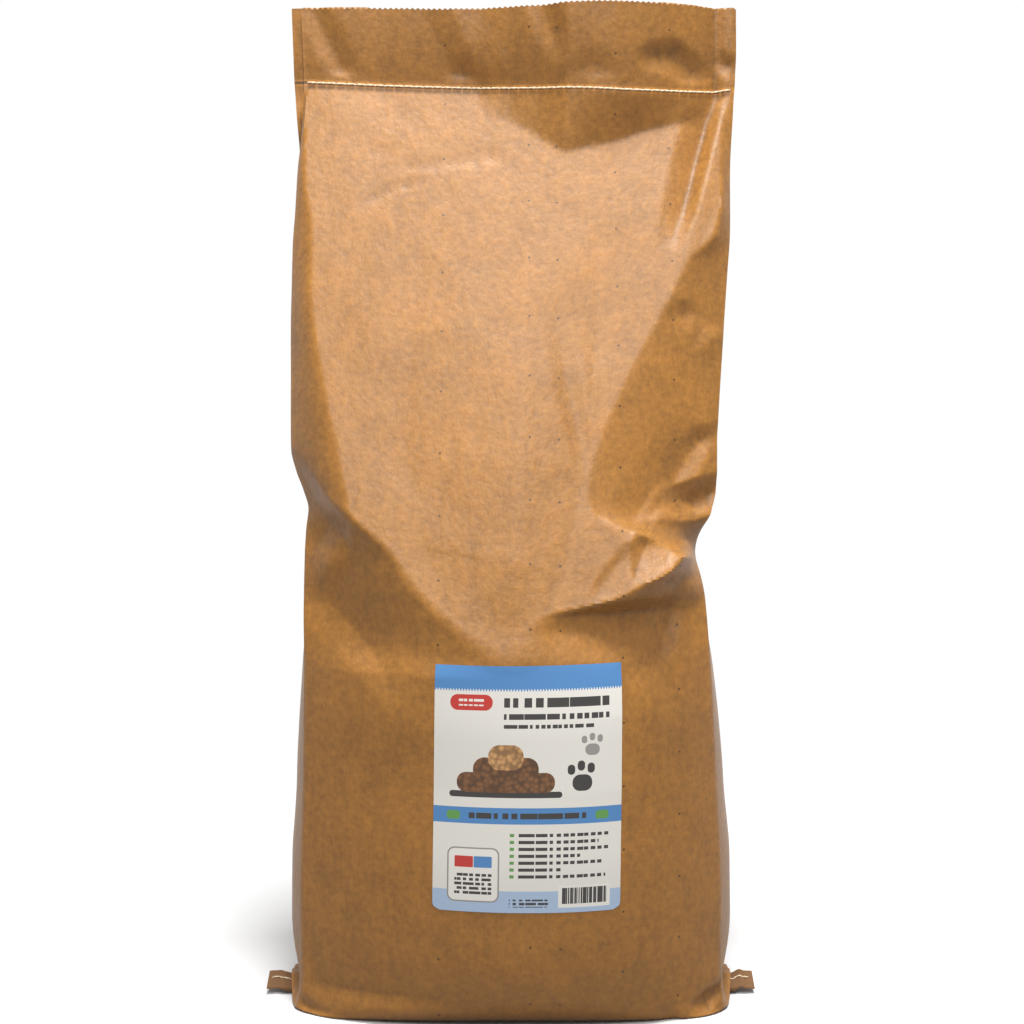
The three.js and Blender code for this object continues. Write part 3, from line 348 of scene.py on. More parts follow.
# Columns of vent pinholes: x and the height of one hole of each, and their spacing up the column
PINHOLES = ((-58, 466), (15.5, 479), (39.5, 477), (90, 504.5), (137, 577))
PINHOLE_PITCH = 50.5
PINHOLE_RADIUS = 1.0
NEEDLE_HOLE_RADIUS = 1.3
RUBBED_BAND = 3.4

# Camera, floor and lights
CAMERA_PLACE = (0.0009, (SET_BACK - 1404) * MM, 0.504)
CAMERA_DROP = 1.91
SENSOR = 36
FOCAL_SHARE = 1627 / 1024
CAMERA_SHIFT = -0.05
FLOOR_SIZE = 8
FLOOR_DROP = 0.0004
# Where the floor fades out, from its middle, and how much of its pale tone a reflection shows
FLOOR_FADE = (0.45, 1.1)
FLOOR_GLOSS = 0.55
# Area lights: name, place, size, and the setting of the power; all of them aim at one height over the origin
LIGHTS = (
    ("key_light", (0.13, -0.62, 3.2), 0.8, "key_power"),
    ("front_light", (0.1, -1.8, 1.9), 1.1, "front_power"),
)
LIGHT_AIM = (0, 0, 0.45)


def lerp(a, b, share):
    """The place a share of the way from a to b."""
    return a + (b - a) * share


def smooth(value, low, high):
    """0 below low, 1 above high, and an even curve between."""
    t = np.clip((value - low) / (high - low), 0, 1)
    return t * t * (3 - 2 * t)


def track(keys, place):
    """Smooth curve through (place, value) keys that never swings past them."""
    at, value = np.array(keys, dtype=float).T
    slope = np.diff(value) / np.diff(at)
    product = slope[:-1] * slope[1:]
    total = np.where(product > 0, slope[:-1] + slope[1:], 1)
    inner = np.where(product > 0, 2 * product / total, 0)
    tangent = np.concatenate([slope[:1], inner, slope[-1:]])
    place = np.clip(place, at[0], at[-1])
    i = np.clip(np.searchsorted(at, place, side="right") - 1, 0, len(slope) - 1)
    span = at[i + 1] - at[i]
    t = (place - at[i]) / span
    rise = t * t * (3 - 2 * t)
    lead = t * (1 - t) ** 2 * span
    trail = t * t * (t - 1) * span
    return value[i] * (1 - rise) + value[i + 1] * rise + tangent[i] * lead + tangent[i + 1] * trail


def at_height(keys, z):
    """A table's value at height z."""
    return track(keys, z / SEAM_HEIGHT)


def between(shares, z):
    """How far height z is through a pair of height shares."""
    return smooth(z / SEAM_HEIGHT, shares[0], shares[1])


def fold_rise(bend, line, x, z):
    """What one fold adds at a place: most on its line, and nothing past its reach."""
    nearest = np.full(np.broadcast(x, z).shape, np.inf)
    rise = np.zeros_like(nearest)
    for start, end in zip(line, line[1:]):
        ax, az = start[:2]
        run_x = end[0] - ax
        run_z = end[1] - az
        share = np.clip(((x - ax) * run_x + (z - az) * run_z) / (run_x ** 2 + run_z ** 2), 0, 1)
        off_x = x - ax - share * run_x
        off_z = z - az - share * run_z
        distance = np.hypot(off_x, off_z)
        above = (run_x * off_z - run_z * off_x) * np.sign(run_x) >= 0
        reach = np.where(above, lerp(start[3], end[3], share), lerp(start[4], end[4], share))
        soft = np.hypot(distance, CREASE_ROUND) - CREASE_ROUND
        lift = lerp(start[2], end[2], share) * np.maximum(0, 1 - soft / reach) ** bend
        rise = np.where(distance < nearest, lift, rise)
        nearest = np.minimum(distance, nearest)
    return rise


def wander(x, z, spacing, seed):
    """Even noise from -1 to 1 that turns about every spacing millimetres."""
    size = 64
    lattice = np.random.default_rng(seed).uniform(-1, 1, (size, size))
    across = x / spacing
    up = z / spacing
    column = np.floor(across).astype(int)
    row = np.floor(up).astype(int)
    s = smooth(across - column, 0, 1)
    t = smooth(up - row, 0, 1)
    left, right = column % size, (column + 1) % size
    low, high = row % size, (row + 1) % size
    near = lerp(lattice[low, left], lattice[low, right], s)
    far = lerp(lattice[high, left], lattice[high, right], s)
    return lerp(near, far, t)


def rounded_max(a, b, width):
    """The farther back of two depths, with the edge between them rounded."""
    h = np.clip(0.5 + (a - b) / (2 * width), 0, 1)
    return lerp(b, a, h) + width * h * (1 - h) / 2


def waves(layers, x, z):
    """Waves of several spacings added up."""
    return sum(height * wander(x, z, spacing, seed) for height, spacing, seed in layers)


def unit(vectors):
    """The same vectors, each one long."""
    return vectors / np.linalg.norm(vectors, axis=-1, keepdims=True)


def run_along(path):
    """How far along a path each of its points lies."""
    return np.concatenate([[0], np.cumsum(np.linalg.norm(np.diff(path, axis=0), axis=1))])


def tube_quads(rows, count):
    """Quads between rings of points, as rows of four indices."""
    grid = np.arange(rows * count).reshape(rows, count)
    after = np.roll(grid, -1, axis=1)
    return np.stack([grid[:-1], after[:-1], after[1:], grid[1:]], axis=-1)


def left_edge(z):
    return at_height(LEFT_EDGE, z) * HALF


def right_edge(z):
    return at_height(RIGHT_EDGE, z) * HALF


def middle(z):
    return at_height(LEAN, z) * SEAM_SETBACK


def half_depth(z):
    return at_height(HALF_DEPTH, z) * TUCK


def seam_height(x):
    return SEAM_HEIGHT + track(SEAM_WAVE, x / HALF)


def away_from_label(x, z):
    """0 under the label, 1 well clear of it."""
    out_x = np.abs(x - LABEL_MIDDLE) - LABEL_WIDTH / 2
    out_z = np.abs(z - LABEL_LOW - LABEL_HEIGHT / 2) - LABEL_HEIGHT / 2
    return smooth(np.maximum(out_x, out_z), 0, LABEL_CALM)


def front_depth(x, z):
    """Depth of the front sheet below the seam."""
    left = left_edge(z)
    right = right_edge(z)
    edge = middle(z) - half_depth(z)
    crest = at_height(FRONT_CREST, z) * HALF
    belly = -at_height(FRONT_BELLY, z) * BELLY_FRONT
    off = np.clip(np.where(x < crest, (crest - x) / (crest - left), (x - crest) / (right - crest)), 0, 1)
    point = np.where(x < crest, at_height(LEFT_POINT, z), at_height(RIGHT_POINT, z))
    rounded = edge + (belly - edge) * (1 - off ** point)
    rise = (z / SEAM_HEIGHT - SLOPE_FOOT) / (1 - SLOPE_FOOT)
    plane = rise * (SEAM_SETBACK - SEAM_THICKNESS / 2 + SLOPE_FOOT_DEPTH) - SLOPE_FOOT_DEPTH
    left_ridge = at_height(LEFT_RIDGE, z) * HALF
    right_ridge = at_height(RIGHT_RIDGE, z) * HALF
    to_left = lerp(plane, edge, np.clip((left_ridge - x) / (left_ridge - left), 0, 1) ** 1.5)
    to_right = lerp(plane, edge, np.clip((x - right_ridge) / (right - right_ridge), 0, 1) ** 1.15)
    slope = np.where(x < left_ridge, to_left, np.where(x > right_ridge, to_right, plane))
    depth = rounded_max(rounded, slope, RIDGE_ROUND)
    for bend, line in FRONT_FOLDS:
        depth = depth - fold_rise(bend, line, x, z)
    rough = away_from_label(x, z)
    return depth - rough * (waves(FRONT_WAVES, x, z) + waves([FRONT_GRAIN], x, z * 0.4))


def front_sheet(x, z):
    """Depth of the front sheet: the sewing presses a band flat, and the flap leans out above it."""
    seam = seam_height(x)
    share = np.maximum(0, z - seam - SEAM_BAND) / FLAP
    lean = track(FLAP_LEAN, x / HALF) * share * (1 + FLAP_CURL * (1 - share))
    if np.any(share > 0):
        fade = smooth(share, 0, 0.12)
        for bend, line in FLAP_FOLDS:
            lean = lean + fade * fold_rise(bend, line, x, z)
    return front_depth(x, np.minimum(z, seam - SEAM_BAND)) - lean


def back_sheet(x, z):
    """Depth of the back sheet: its own belly low down, and pressed on the front sheet at the seam."""
    left = left_edge(z)
    right = right_edge(z)
    edge = middle(z) + half_depth(z)
    belly = np.maximum(at_height(BACK_BELLY, z) * BELLY_BACK, edge + 1)
    off = np.clip(np.abs((x - (left + right) / 2) / ((right - left) / 2)), 0, 1)
    free = edge + (belly - edge) * (1 - off ** BACK_POINT)
    for bend, line in BACK_FOLDS:
        free = free + fold_rise(bend, line, x, z)
    free = free + waves(BACK_WAVES, x, z)
    flap = np.clip((z - seam_height(x)) / FLAP, 0, 1)
    pressed = front_sheet(x, z) + lerp(SEAM_THICKNESS, MOUTH_THICKNESS, smooth(flap, 0, 1))
    return np.maximum(lerp(free, pressed, between(BACK_PRESS, z)), pressed)


def wall_sheet(u, level, shift, depth_of):
    """Points of the front or back sheet at u across it, on the ring of a level."""
    flap_share = np.clip((level - SEAM_HEIGHT) / FLAP, 0, 1)
    seam_share = between((BACK_PRESS[0], 1), level)
    guess = lerp(left_edge(level), right_edge(level), (u + 1) / 2)
    seam_wave = track(SEAM_WAVE, guess / HALF) * seam_share
    wave = lerp(seam_wave, track(EDGE_WAVE, guess / HALF), flap_share)
    z = level + wave
    x = lerp(left_edge(z), right_edge(z), (u + 1) / 2) - shift
    return np.stack([x, depth_of(x, z), z], axis=-1)


def sheet_shift(z):
    """How far the back sheet's edges stand to the left of the front sheet's, near the mouth."""
    return SHEET_SHIFT * between(SHIFT_RISE, z)


def wall_gusset(side, level, share):
    """Points of a gusset, from the front edge fold to the back one."""
    a = wall_sheet(side, level, 0, front_sheet)
    b = wall_sheet(side, level, sheet_shift(level), back_sheet)
    z = (a[..., 2] + b[..., 2]) / 2
    out = at_height(GUSSET_OUT, z) * HALF
    fold_x = (a[..., 0] + b[..., 0]) / 2 + side * out
    arch = 2 - smooth(-out, 0, GUSSET_ARCH)
    to_middle = 1 - np.abs(2 * share - 1)
    near_y = np.where(share < 0.5, a[..., 1], b[..., 1])
    bulge = 1 - (1 - to_middle) ** arch
    x = lerp(lerp(a[..., 0], b[..., 0], share), fold_x, bulge)
    opened = lerp(near_y, (a[..., 1] + b[..., 1]) / 2, to_middle)
    front = front_sheet(x, z)
    back = back_sheet(x, z)
    ply = PLY * np.clip(to_middle * 4, 0, 1)
    pressed = np.where(share < 0.5, front + ply, back - ply)
    pressed = np.where(to_middle > MEETING, (front + back) / 2, pressed)
    y = lerp(opened, pressed, between(GUSSET_PRESS, level))
    x = x + side * waves(GUSSET_WAVES, y + 300, z) * to_middle * (1 - between(GUSSET_PRESS, level))
    rise = FOLD_LIFT * (1 - between(LIFT_FADE, level)) * to_middle
    return np.stack([x, y, lerp(a[..., 2], b[..., 2], share) + rise], axis=-1)


FRONT_U = np.linspace(-1, 1, FRONT_STEPS + 1)
BACK_U = np.linspace(1, -1, BACK_STEPS + 1)
GUSSET_SHARES = np.linspace(0, 1, 2 * GUSSET_STEPS + 1)[1:-1]


def wall_rings(levels):
    """Rings of the upright wall: front left to right, right gusset, back right to left, left gusset."""
    level = np.array(levels, dtype=float)[:, None]
    return np.concatenate([
        wall_sheet(FRONT_U, level, 0, front_sheet),
        wall_gusset(1, level, GUSSET_SHARES),
        wall_sheet(BACK_U, level, sheet_shift(level), back_sheet),
        wall_gusset(-1, level, GUSSET_SHARES[::-1]),
    ], axis=1)


# The folded-under bottom, from the seam's free edge out to where the wall begins. Each step gives the middle
# of the front sheet (y, z), its corner (inset, y, z), the gusset's middle (inset, z), then the middle and
# corner of the back sheet, and how late the front and back sheets rise to their corners.
BOTTOM = [
    ((-FIN - 1, FIN_TOP), (0, -FIN - 1, FIN_TOP + 0.2), (TUCK, FIN_MIDDLE),
     (-FIN - 1, FIN_BOTTOM), (0, -FIN - 1, FIN_BOTTOM + 0.2), (4, 4, 6)),
    ((-1, FIN_TOP), (0, -2, FIN_TOP + FIN_END_RISE), (TUCK, FIN_MIDDLE),
     (-0.5, FIN_BOTTOM), (0, -1.5, FIN_BOTTOM + FIN_END_RISE), (4, 4, 6)),
    ((-1.5, FIN_COVER), (0.3, -4, FIN_COVER + 8), (TUCK - 1, FIN_COVER + 8),
     (4, 1.3), (0.3, 2, FIN_TOP + 8), (4, 4, 6)),
    ((-FIN - 5, FIN_COVER), (1, -14, FIN_COVER + 7), (TUCK - 4, FIN_COVER + 15),
     (11, 0), (1, 12, FIN_COVER + 6), (4, 8, 6)),
    ((-FIN - 14, 1.5), (2.5, -25, FIN_COVER + 2), (TUCK - 8, FIN_COVER + 27),
     (24, 0), (2.5, 24, FIN_COVER + 2), (10, 12, 6)),
    ((-FIN - 22, 0), (4.5, -36, 5), (TUCK - 15, FIN_COVER + 39),
     (40, 0), (4.5, 36, 5), (14, 14, 8)),
    ((-(BASE_FRONT + FIN + 22) / 2, 0), (6.5, -47, 2.5), (TUCK - 28, FIN_COVER + 50),
     ((BASE_BACK + 40) / 2, 0), (6.5, 47, 2.5), (14, 14, 10)),
    ((-BASE_FRONT, 0), (10, -58, 2), (TUCK - 44, FIN_COVER + 60),
     (BASE_BACK, 0), (10, 58, 2), (14, 14, 12)),
    ((-BASE_FRONT - 14, 4), (13.5, -62.5, 7), (TUCK - 56, FIN_COVER + 70),
     (BASE_BACK + 13, 4), (13.5, 62.5, 7), (14, 14, 4.3)),
    ((-BASE_FRONT - 26, 13), (15.8, -63.5, 16), (TUCK - 63, FIN_COVER + 78),
     (BASE_BACK + 20, 13), (15.8, 63.5, 16), (14, 14, 2.7)),
]
# So many of the steps belong to the sewn fin, which is straight
FIN_RINGS = 3


def bottom_sheet(u, centre, corner, curl, spread):
    """Points of a bottom ring's front or back sheet: flat in the middle, drawn up to the corners."""
    ends = np.abs(u)
    x = u * (HALF - corner[0])
    y = lerp(centre[0], corner[1], ends ** spread)
    z = lerp(centre[1], corner[2], ends ** curl)
    return np.stack([x, y, z], axis=-1)


def bottom_gusset(side, share, front_args, back_args, gusset):
    """Points of a bottom ring's gusset, from the front corner to the back one."""
    a = bottom_sheet(np.float64(side), *front_args)
    b = bottom_sheet(np.float64(side), *back_args)
    to_middle = 1 - np.abs(2 * share - 1)
    near = np.where((share < 0.5)[:, None], a, b)
    x = lerp(near[:, 0], side * (HALF - gusset[0]), to_middle)
    if np.linalg.norm(a - b) < 2 * FIN_THICKNESS:
        u = x / (HALF - front_args[1][0])
        front = bottom_sheet(u, *front_args)
        back = bottom_sheet(u, *back_args)
        ply = np.where(to_middle > MEETING, 0.5, 0.42 * np.clip(to_middle * 4, 0, 1))[:, None]
        skin = np.where((share < 0.5)[:, None], lerp(front, back, ply), lerp(back, front, ply))
        return np.stack([x, skin[:, 1], skin[:, 2]], axis=-1)
    y = lerp(near[:, 1], (a[1] + b[1]) / 2, to_middle)
    z = lerp(near[:, 2], gusset[1], to_middle)
    return np.stack([x, y, z], axis=-1)


def bottom_ring(step):
    """One ring of the folded-under bottom, in the same order as the wall's rings."""
    centre, corner, gusset, back_centre, back_corner, curl = step
    front_args = (centre, corner, curl[0], curl[2])
    back_args = (back_centre, back_corner, curl[1], curl[2])
    return np.concatenate([
        bottom_sheet(FRONT_U, *front_args),
        bottom_gusset(1, GUSSET_SHARES, front_args, back_args, gusset),
        bottom_sheet(BACK_U, *back_args),
        bottom_gusset(-1, GUSSET_SHARES[::-1], front_args, back_args, gusset),
    ])


def bottom_rings():
    """The bottom's rings, straight in the sewn fin and curved from there out to the wall."""
    foot = WALL_FOOT * SEAM_HEIGHT
    coarse = [bottom_ring(step) for step in BOTTOM]
    coarse.extend(wall_rings([foot, foot + FOOT_RING]))
    rings = []
    for i in range(len(BOTTOM)):
        steps = 4 if i else 6
        for k in range(steps):
            t = k / steps
            if i < FIN_RINGS:
                rings.append(lerp(coarse[i], coarse[i + 1], t))
                continue
            p, q, r, s = coarse[i - 1], coarse[i], coarse[i + 1], coarse[i + 2]
            curve = 2 * q + (r - p) * t + (2 * p - 5 * q + 4 * r - s) * t * t
            rings.append((curve + (3 * q - p - 3 * r + s) * t ** 3) / 2)
    rings = np.array(rings)
    front = rings[:, :FRONT_STEPS + 1]
    outer = smooth(-front[..., 1], *OUTER_BASE)
    for bend, line in BASE_FOLDS:
        front[..., 1] -= outer * fold_rise(bend, line, front[..., 0], front[..., 2])
    return rings


def fill_strip(x, near, far):
    """Triangles across the strip between two lines of ring points that both run left to right."""
    faces = []
    i = j = 0
    while i < len(near) - 1 or j < len(far) - 1:
        near_next = x[near[i + 1]] if i < len(near) - 1 else np.inf
        far_next = x[far[j + 1]] if j < len(far) - 1 else np.inf
        if near_next <= far_next:
            face = (near[i], near[i + 1], far[j])
            i += 1
        else:
            face = (near[i], far[j + 1], far[j])
            j += 1
        if len(set(face)) == 3:
            faces.append(face)
    return faces


def fill_end(ring):
    """Triangles that close one end of the tube, with the gusset folds tucked in between the sheets."""
    x = ring[:, 0]
    right_middle = FRONT_STEPS + GUSSET_STEPS
    back_right = FRONT_STEPS + 2 * GUSSET_STEPS
    back_left = back_right + BACK_STEPS
    left_middle = back_left + GUSSET_STEPS
    front = list(range(FRONT_STEPS + 1))
    back = list(range(back_left, back_right - 1, -1))
    inner_front = [i for i in front if x[left_middle] < x[i] < x[right_middle]]
    inner_back = [i for i in back if x[left_middle] < x[i] < x[right_middle]]
    left_front = [0] + list(range(len(ring) - 1, left_middle - 1, -1))
    right_front = list(range(right_middle, FRONT_STEPS - 1, -1))
    left_back = list(range(back_left, left_middle + 1))
    right_back = list(range(right_middle, back_right + 1))
    faces = fill_strip(x, list(range(inner_front[0] + 1)), left_front)
    faces += fill_strip(x, inner_front, [left_middle] + inner_back + [right_middle])
    faces += fill_strip(x, list(range(inner_front[-1], FRONT_STEPS + 1)), right_front)
    faces += fill_strip(x, left_back, [i for i in back if i >= inner_back[0]])
    faces += fill_strip(x, right_back, [i for i in back if i <= inner_back[-1]])
    return faces


def make_piece(name, points, faces, material, node):
    """A mesh piece from points in millimetres, set into the frame in place of its CAD node and selected."""
    placed = (np.asarray(points) + (0, SET_BACK, 0)) * MM
    mesh = bpy.data.meshes.new(name)
    mesh.from_pydata(placed.tolist(), [], faces)
    mesh.materials.append(material)
    piece = bpy.data.objects.new(name, mesh)
    bpy.context.scene.collection.objects.link(piece)
    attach(piece, "root")
    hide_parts(node)
    for other in bpy.context.selected_objects:
        other.select_set(False)
    piece.select_set(True)
    bpy.context.view_layer.objects.active = piece
    return piece


def linear(hex_colour):
    """A colour written as sRGB hex, turned to the linear values that a shader takes."""
    digits = hex_colour.lstrip("#")
    values = [int(digits[i:i + 2], 16) / 255 for i in (0, 2, 4)]
    return [v / 12.92 if v <= 0.04045 else ((v + 0.055) / 1.055) ** 2.4 for v in values] + [1]


def node_adder(tree):
    """The function that adds a node to a tree, with its settings and the values or links of its sockets."""

    def add(kind, sockets=None, **settings):
        node = tree.nodes.new("ShaderNode" + kind)
        for name, value in settings.items():
            setattr(node, name, value)
        for key, value in (sockets or {}).items():
            if isinstance(value, bpy.types.Node):
                value = value.outputs[0]
            if isinstance(value, bpy.types.NodeSocket):
                tree.links.new(value, node.inputs[key])
            else:
                node.inputs[key].default_value = value
        return node

    return add


def new_material(name):
    """An empty node material and the function that adds its nodes."""
    material = bpy.data.materials.new(name)
    material.use_nodes = True
    material.node_tree.nodes.clear()
    return material, node_adder(material.node_tree)


MULTIPLY_COLOURS = {"data_type": "RGBA", "blend_type": "MULTIPLY"}
# Patterns of the kraft paper: the size of a spot in metres, how far it is stretched upright, its detail, and
# what it adds to the tone
PAPER_PATTERNS = {
    "fibre": (0.0017, 0.3, 3, 0.42),
    "streak": (0.009, 0.3, 3, 0.42),
    "mottle": (0.0055, 1, 3, 0.72),
    "cloud": (0.05, 1, 4, 0.44),
    "fleck": (0.0028, 1, 1, 0),
}
# How deep the patterns are pressed into the surface, in metres, and how strongly
PAPER_RELIEF = (("fibre", 0.00012, 0.6), ("streak", 0.0004, 0.5), ("mottle", 0.0009, 0.5))


# Natural kraft paper, machine glazed on the outside. Unbleached wood fibre gives a warm brown with long
# vertical fibres, pale flecks, and a soft broad shine. Its fibres are drawn coarser than real ones, so that
# they show. Its tone is lighter on the sack's ridges, as rubbed fold edges, and darker in its grooves,
# which is painted shade.
def kraft_paper(colour):
    material, add = new_material("kraft paper, machine glazed")
    place = add("TexCoord").outputs["Object"]
    pattern = {}
    tones = []
    for name, (spot, stretch, detail, weight) in PAPER_PATTERNS.items():
        grain = add("Mapping", {"Vector": place, "Scale": (1, 1, stretch)})
        pattern[name] = add("TexNoise", {"Vector": grain, "Scale": 1 / spot, "Detail": detail}).outputs[0]
        tones.append((pattern[name], weight))
    fleck = add("MapRange", {"Value": pattern["fleck"], "From Min": 0.68, "From Max": 0.8})
    paper = add("Attribute", attribute_name="paper").outputs["Vector"]
    seam_x, seam_z, crease = add("SeparateXYZ", {0: paper}).outputs
    off_seam = add("Math", {0: seam_z}, operation="ABSOLUTE")
    rubbed = add("MapRange", {"Value": off_seam, "From Min": RUBBED_BAND, "From Max": THREAD})
    rubbed = add("Math", {0: rubbed, 1: pattern["mottle"]}, operation="MULTIPLY")
    # Painted shade: the crease value darkens the paper in grooves and lightens it on ridges as rubbed wear,
    # and the groove value darkens the grooves further as painted shade.
    groove = add("Math", {0: crease, 1: 0.0}, operation="MINIMUM")
    tone = 0.0
    for value, weight in tones + [(fleck, 0.16), (crease, 0.07), (groove, 0.2), (rubbed, 1.1)]:
        tone = add("Math", {0: value, 1: weight, 2: tone}, operation="MULTIPLY_ADD")
    stitch = add("Math", {0: seam_x, 1: STITCH / 2, 2: -STITCH / 2}, operation="WRAP")
    holes = [(stitch, seam_z, NEEDLE_HOLE_RADIUS)]
    x, _, z = add("SeparateXYZ", {0: place}).outputs
    for hole_x, hole_z in PINHOLES:
        off_x = add("Math", {0: x, 1: 1 / MM, 2: -hole_x}, operation="MULTIPLY_ADD")
        off_z = add("Math", {0: z, 1: 1 / MM, 2: -hole_z}, operation="MULTIPLY_ADD")
        off_z = add("Math", {0: off_z, 1: PINHOLE_PITCH / 2, 2: -PINHOLE_PITCH / 2}, operation="WRAP")
        holes.append((off_x, off_z, PINHOLE_RADIUS))
    for off_x, off_z, radius in holes:
        off = add("CombineXYZ", {0: off_x, 1: off_z})
        off = add("VectorMath", {0: off}, operation="LENGTH").outputs["Value"]
        clear = add("MapRange", {
            "Value": off, "From Min": radius * 0.6, "From Max": radius * 1.3, "To Min": 0.2})
        tone = add("Math", {0: tone, 1: clear}, operation="MULTIPLY")
    shade = add("Mix", {0: 1.0, 6: linear(colour), 7: tone}, **MULTIPLY_COLOURS).outputs[2]
    relief = {}
    for name, depth, strength in PAPER_RELIEF:
        bump = {"Height": pattern[name], "Distance": depth, "Strength": strength}
        relief = {"Normal": add("Bump", bump | relief)}
    shader = add("BsdfPrincipled", {
        "Base Color": shade, "Roughness": 0.47, "Specular IOR Level": 0.48,
        "Sheen Weight": 0.06, "Sheen Roughness": 0.4} | relief)
    add("OutputMaterial", {0: shader})
    return material


def box_mask(add, place, box, corner):
    """1 inside a box with rounded corners and 0 outside it, in the units of place."""
    left, low, right, top = box
    centre = ((left + right) / 2, (low + top) / 2, 0)
    half = ((right - left) / 2 - corner, (top - low) / 2 - corner, 0)
    zero = (0, 0, 0)
    steps = (("SUBTRACT", centre), ("ABSOLUTE", zero), ("SUBTRACT", half), ("MAXIMUM", zero))
    for operation, value in steps:
        place = add("VectorMath", {0: place, 1: value}, operation=operation)
    off = add("VectorMath", {0: place}, operation="LENGTH").outputs["Value"]
    return add("Math", {0: off, 1: corner}, operation="LESS_THAN")


def dash_mask(add, place, length, pitch):
    """1 on small marks in rows a pitch apart, some of them left out."""
    cells = add("VectorMath", {0: place, 1: (1 / length, 1 / pitch, 0)}, operation="MULTIPLY")
    within = add("VectorMath", {0: cells}, operation="FRACTION")
    within = add("SeparateXYZ", {0: within}).outputs
    number = add("VectorMath", {0: cells}, operation="FLOOR")
    chance = add("TexWhiteNoise", {"Vector": number}, noise_dimensions="2D")
    reach = add("MapRange", {"Value": chance, "To Min": 0.45, "To Max": 1.15})
    across = add("Math", {0: within[0], 1: reach}, operation="LESS_THAN")
    up = add("Math", {0: within[1], 1: 0.62}, operation="LESS_THAN")
    return add("Math", {0: across, 1: up}, operation="MULTIPLY")


# Coated white label stock, satin, printed in flat spot colours: bands, a pill, a heap of pellets in a dish,
# paw prints, a badge, and rows of plain marks.
def printed_label(colour):
    material, add = new_material("coated label paper, printed")
    place = add("UVMap", uv_map="print")
    place = add("VectorMath", {0: place, 1: (LABEL_HEIGHT, LABEL_HEIGHT, 0)}, operation="MULTIPLY")
    x = add("SeparateXYZ", {0: place})
    wave = add("Math", {0: x, 1: 2 * math.pi / SCALLOP}, operation="MULTIPLY")
    wave = add("Math", {0: wave}, operation="SINE")
    wave = add("CombineXYZ", {1: wave})
    wavy = add("VectorMath", {0: place, 1: wave}, operation="ADD")
    pellets = add("TexVoronoi", {"Vector": place, "Scale": 1 / PELLET}, feature="F1")
    pellets = add("MapRange", {
        "Value": pellets, "From Min": 0.2, "From Max": 0.7, "To Min": 1.25, "To Max": 0.5})
    shade = linear(colour)
    for number, (name, box, corner, dash) in enumerate(PRINT):
        mask = box_mask(add, wavy if number == 0 else place, box, corner)
        ink = linear(SPOT_COLOURS[name])
        if dash:
            marks = dash_mask(add, place, *dash)
            mask = add("Math", {0: mask, 1: marks}, operation="MULTIPLY")
        if name in ("tan", "brown"):
            ink = add("Mix", {0: 1.0, 6: ink, 7: pellets}, **MULTIPLY_COLOURS).outputs[2]
        shade = add("Mix", {0: mask, 6: shade, 7: ink}, data_type="RGBA").outputs[2]
    shader = add("BsdfPrincipled", {"Base Color": shade, "Roughness": 0.42, "Specular IOR Level": 0.5})
    add("OutputMaterial", {0: shader})
    return material


# Undyed spun polyester-cotton sewing thread, matt and cream.
def sewing_thread(colour):
    material, add = new_material("spun polyester-cotton thread")
    shader = add("BsdfPrincipled", {"Base Color": linear(colour), "Roughness": 0.8, "Sheen Weight": 0.3})
    add("OutputMaterial", {0: shader})
    return material


# Creped kraft binding tape: darker than the sack, matt, and finely wrinkled across its length.
def crepe_tape(colour):
    material, add = new_material("creped kraft tape")
    shader = add("BsdfPrincipled", {"Base Color": linear(colour), "Roughness": 0.8})
    add("OutputMaterial", {0: shader})
    return material


class SackSettings(bpy.types.PropertyGroup):
    """Sizes and colours of the paper sack."""

    paper: bpy.props.StringProperty(
        name="Paper colour", description="Kraft paper colour as sRGB hex", default="#946326")
    edge_teeth: bpy.props.FloatProperty(
        name="Edge teeth", description="Depth of the saw-cut teeth along the mouth's free edge",
        default=0.0017, min=0, max=0.004, unit="LENGTH")


class LabelSettings(bpy.types.PropertyGroup):
    """Sizes and colours of the label."""

    paper: bpy.props.StringProperty(
        name="Label colour", description="White of the label paper as sRGB hex", default="#DAD6CE")
    corner: bpy.props.FloatProperty(
        name="Corner radius", description="Radius of the label's two lower corners",
        default=0.006, min=0.001, max=0.02, unit="LENGTH")


class SewingSettings(bpy.types.PropertyGroup):
    """Sizes and colours of the threads and the tape."""

    thread: bpy.props.StringProperty(
        name="Thread colour", description="Sewing thread colour as sRGB hex", default="#E2CDAE")
    tape: bpy.props.StringProperty(
        name="Tape colour", description="Crepe tape colour as sRGB hex", default="#6E4D2C")


class StageSettings(bpy.types.PropertyGroup):
    """The lights."""

    key_power: bpy.props.FloatProperty(
        name="Key power", description="Power of the soft light overhead", default=128, unit="POWER")
    front_power: bpy.props.FloatProperty(
        name="Front power", description="Power of the wide soft light high in front", default=32,
        unit="POWER")


def sack_levels():
    """Heights of the wall's rings, with the seam's flat band and the flap above it."""
    levels = [WALL_FOOT * SEAM_HEIGHT]
    for low, high, steps in WALL_PARTS:
        levels += [lerp(low, high, i / steps) * SEAM_HEIGHT for i in range(1, steps + 1)]
    levels += [SEAM_HEIGHT - SEAM_BAND - 6, SEAM_HEIGHT - SEAM_BAND - 3]
    levels += [SEAM_HEIGHT - SEAM_BAND, SEAM_HEIGHT, SEAM_HEIGHT + SEAM_BAND]
    levels += [SEAM_HEIGHT + lerp(SEAM_BAND, FLAP, i / FLAP_STEPS) for i in range(1, FLAP_STEPS + 1)]
    return levels


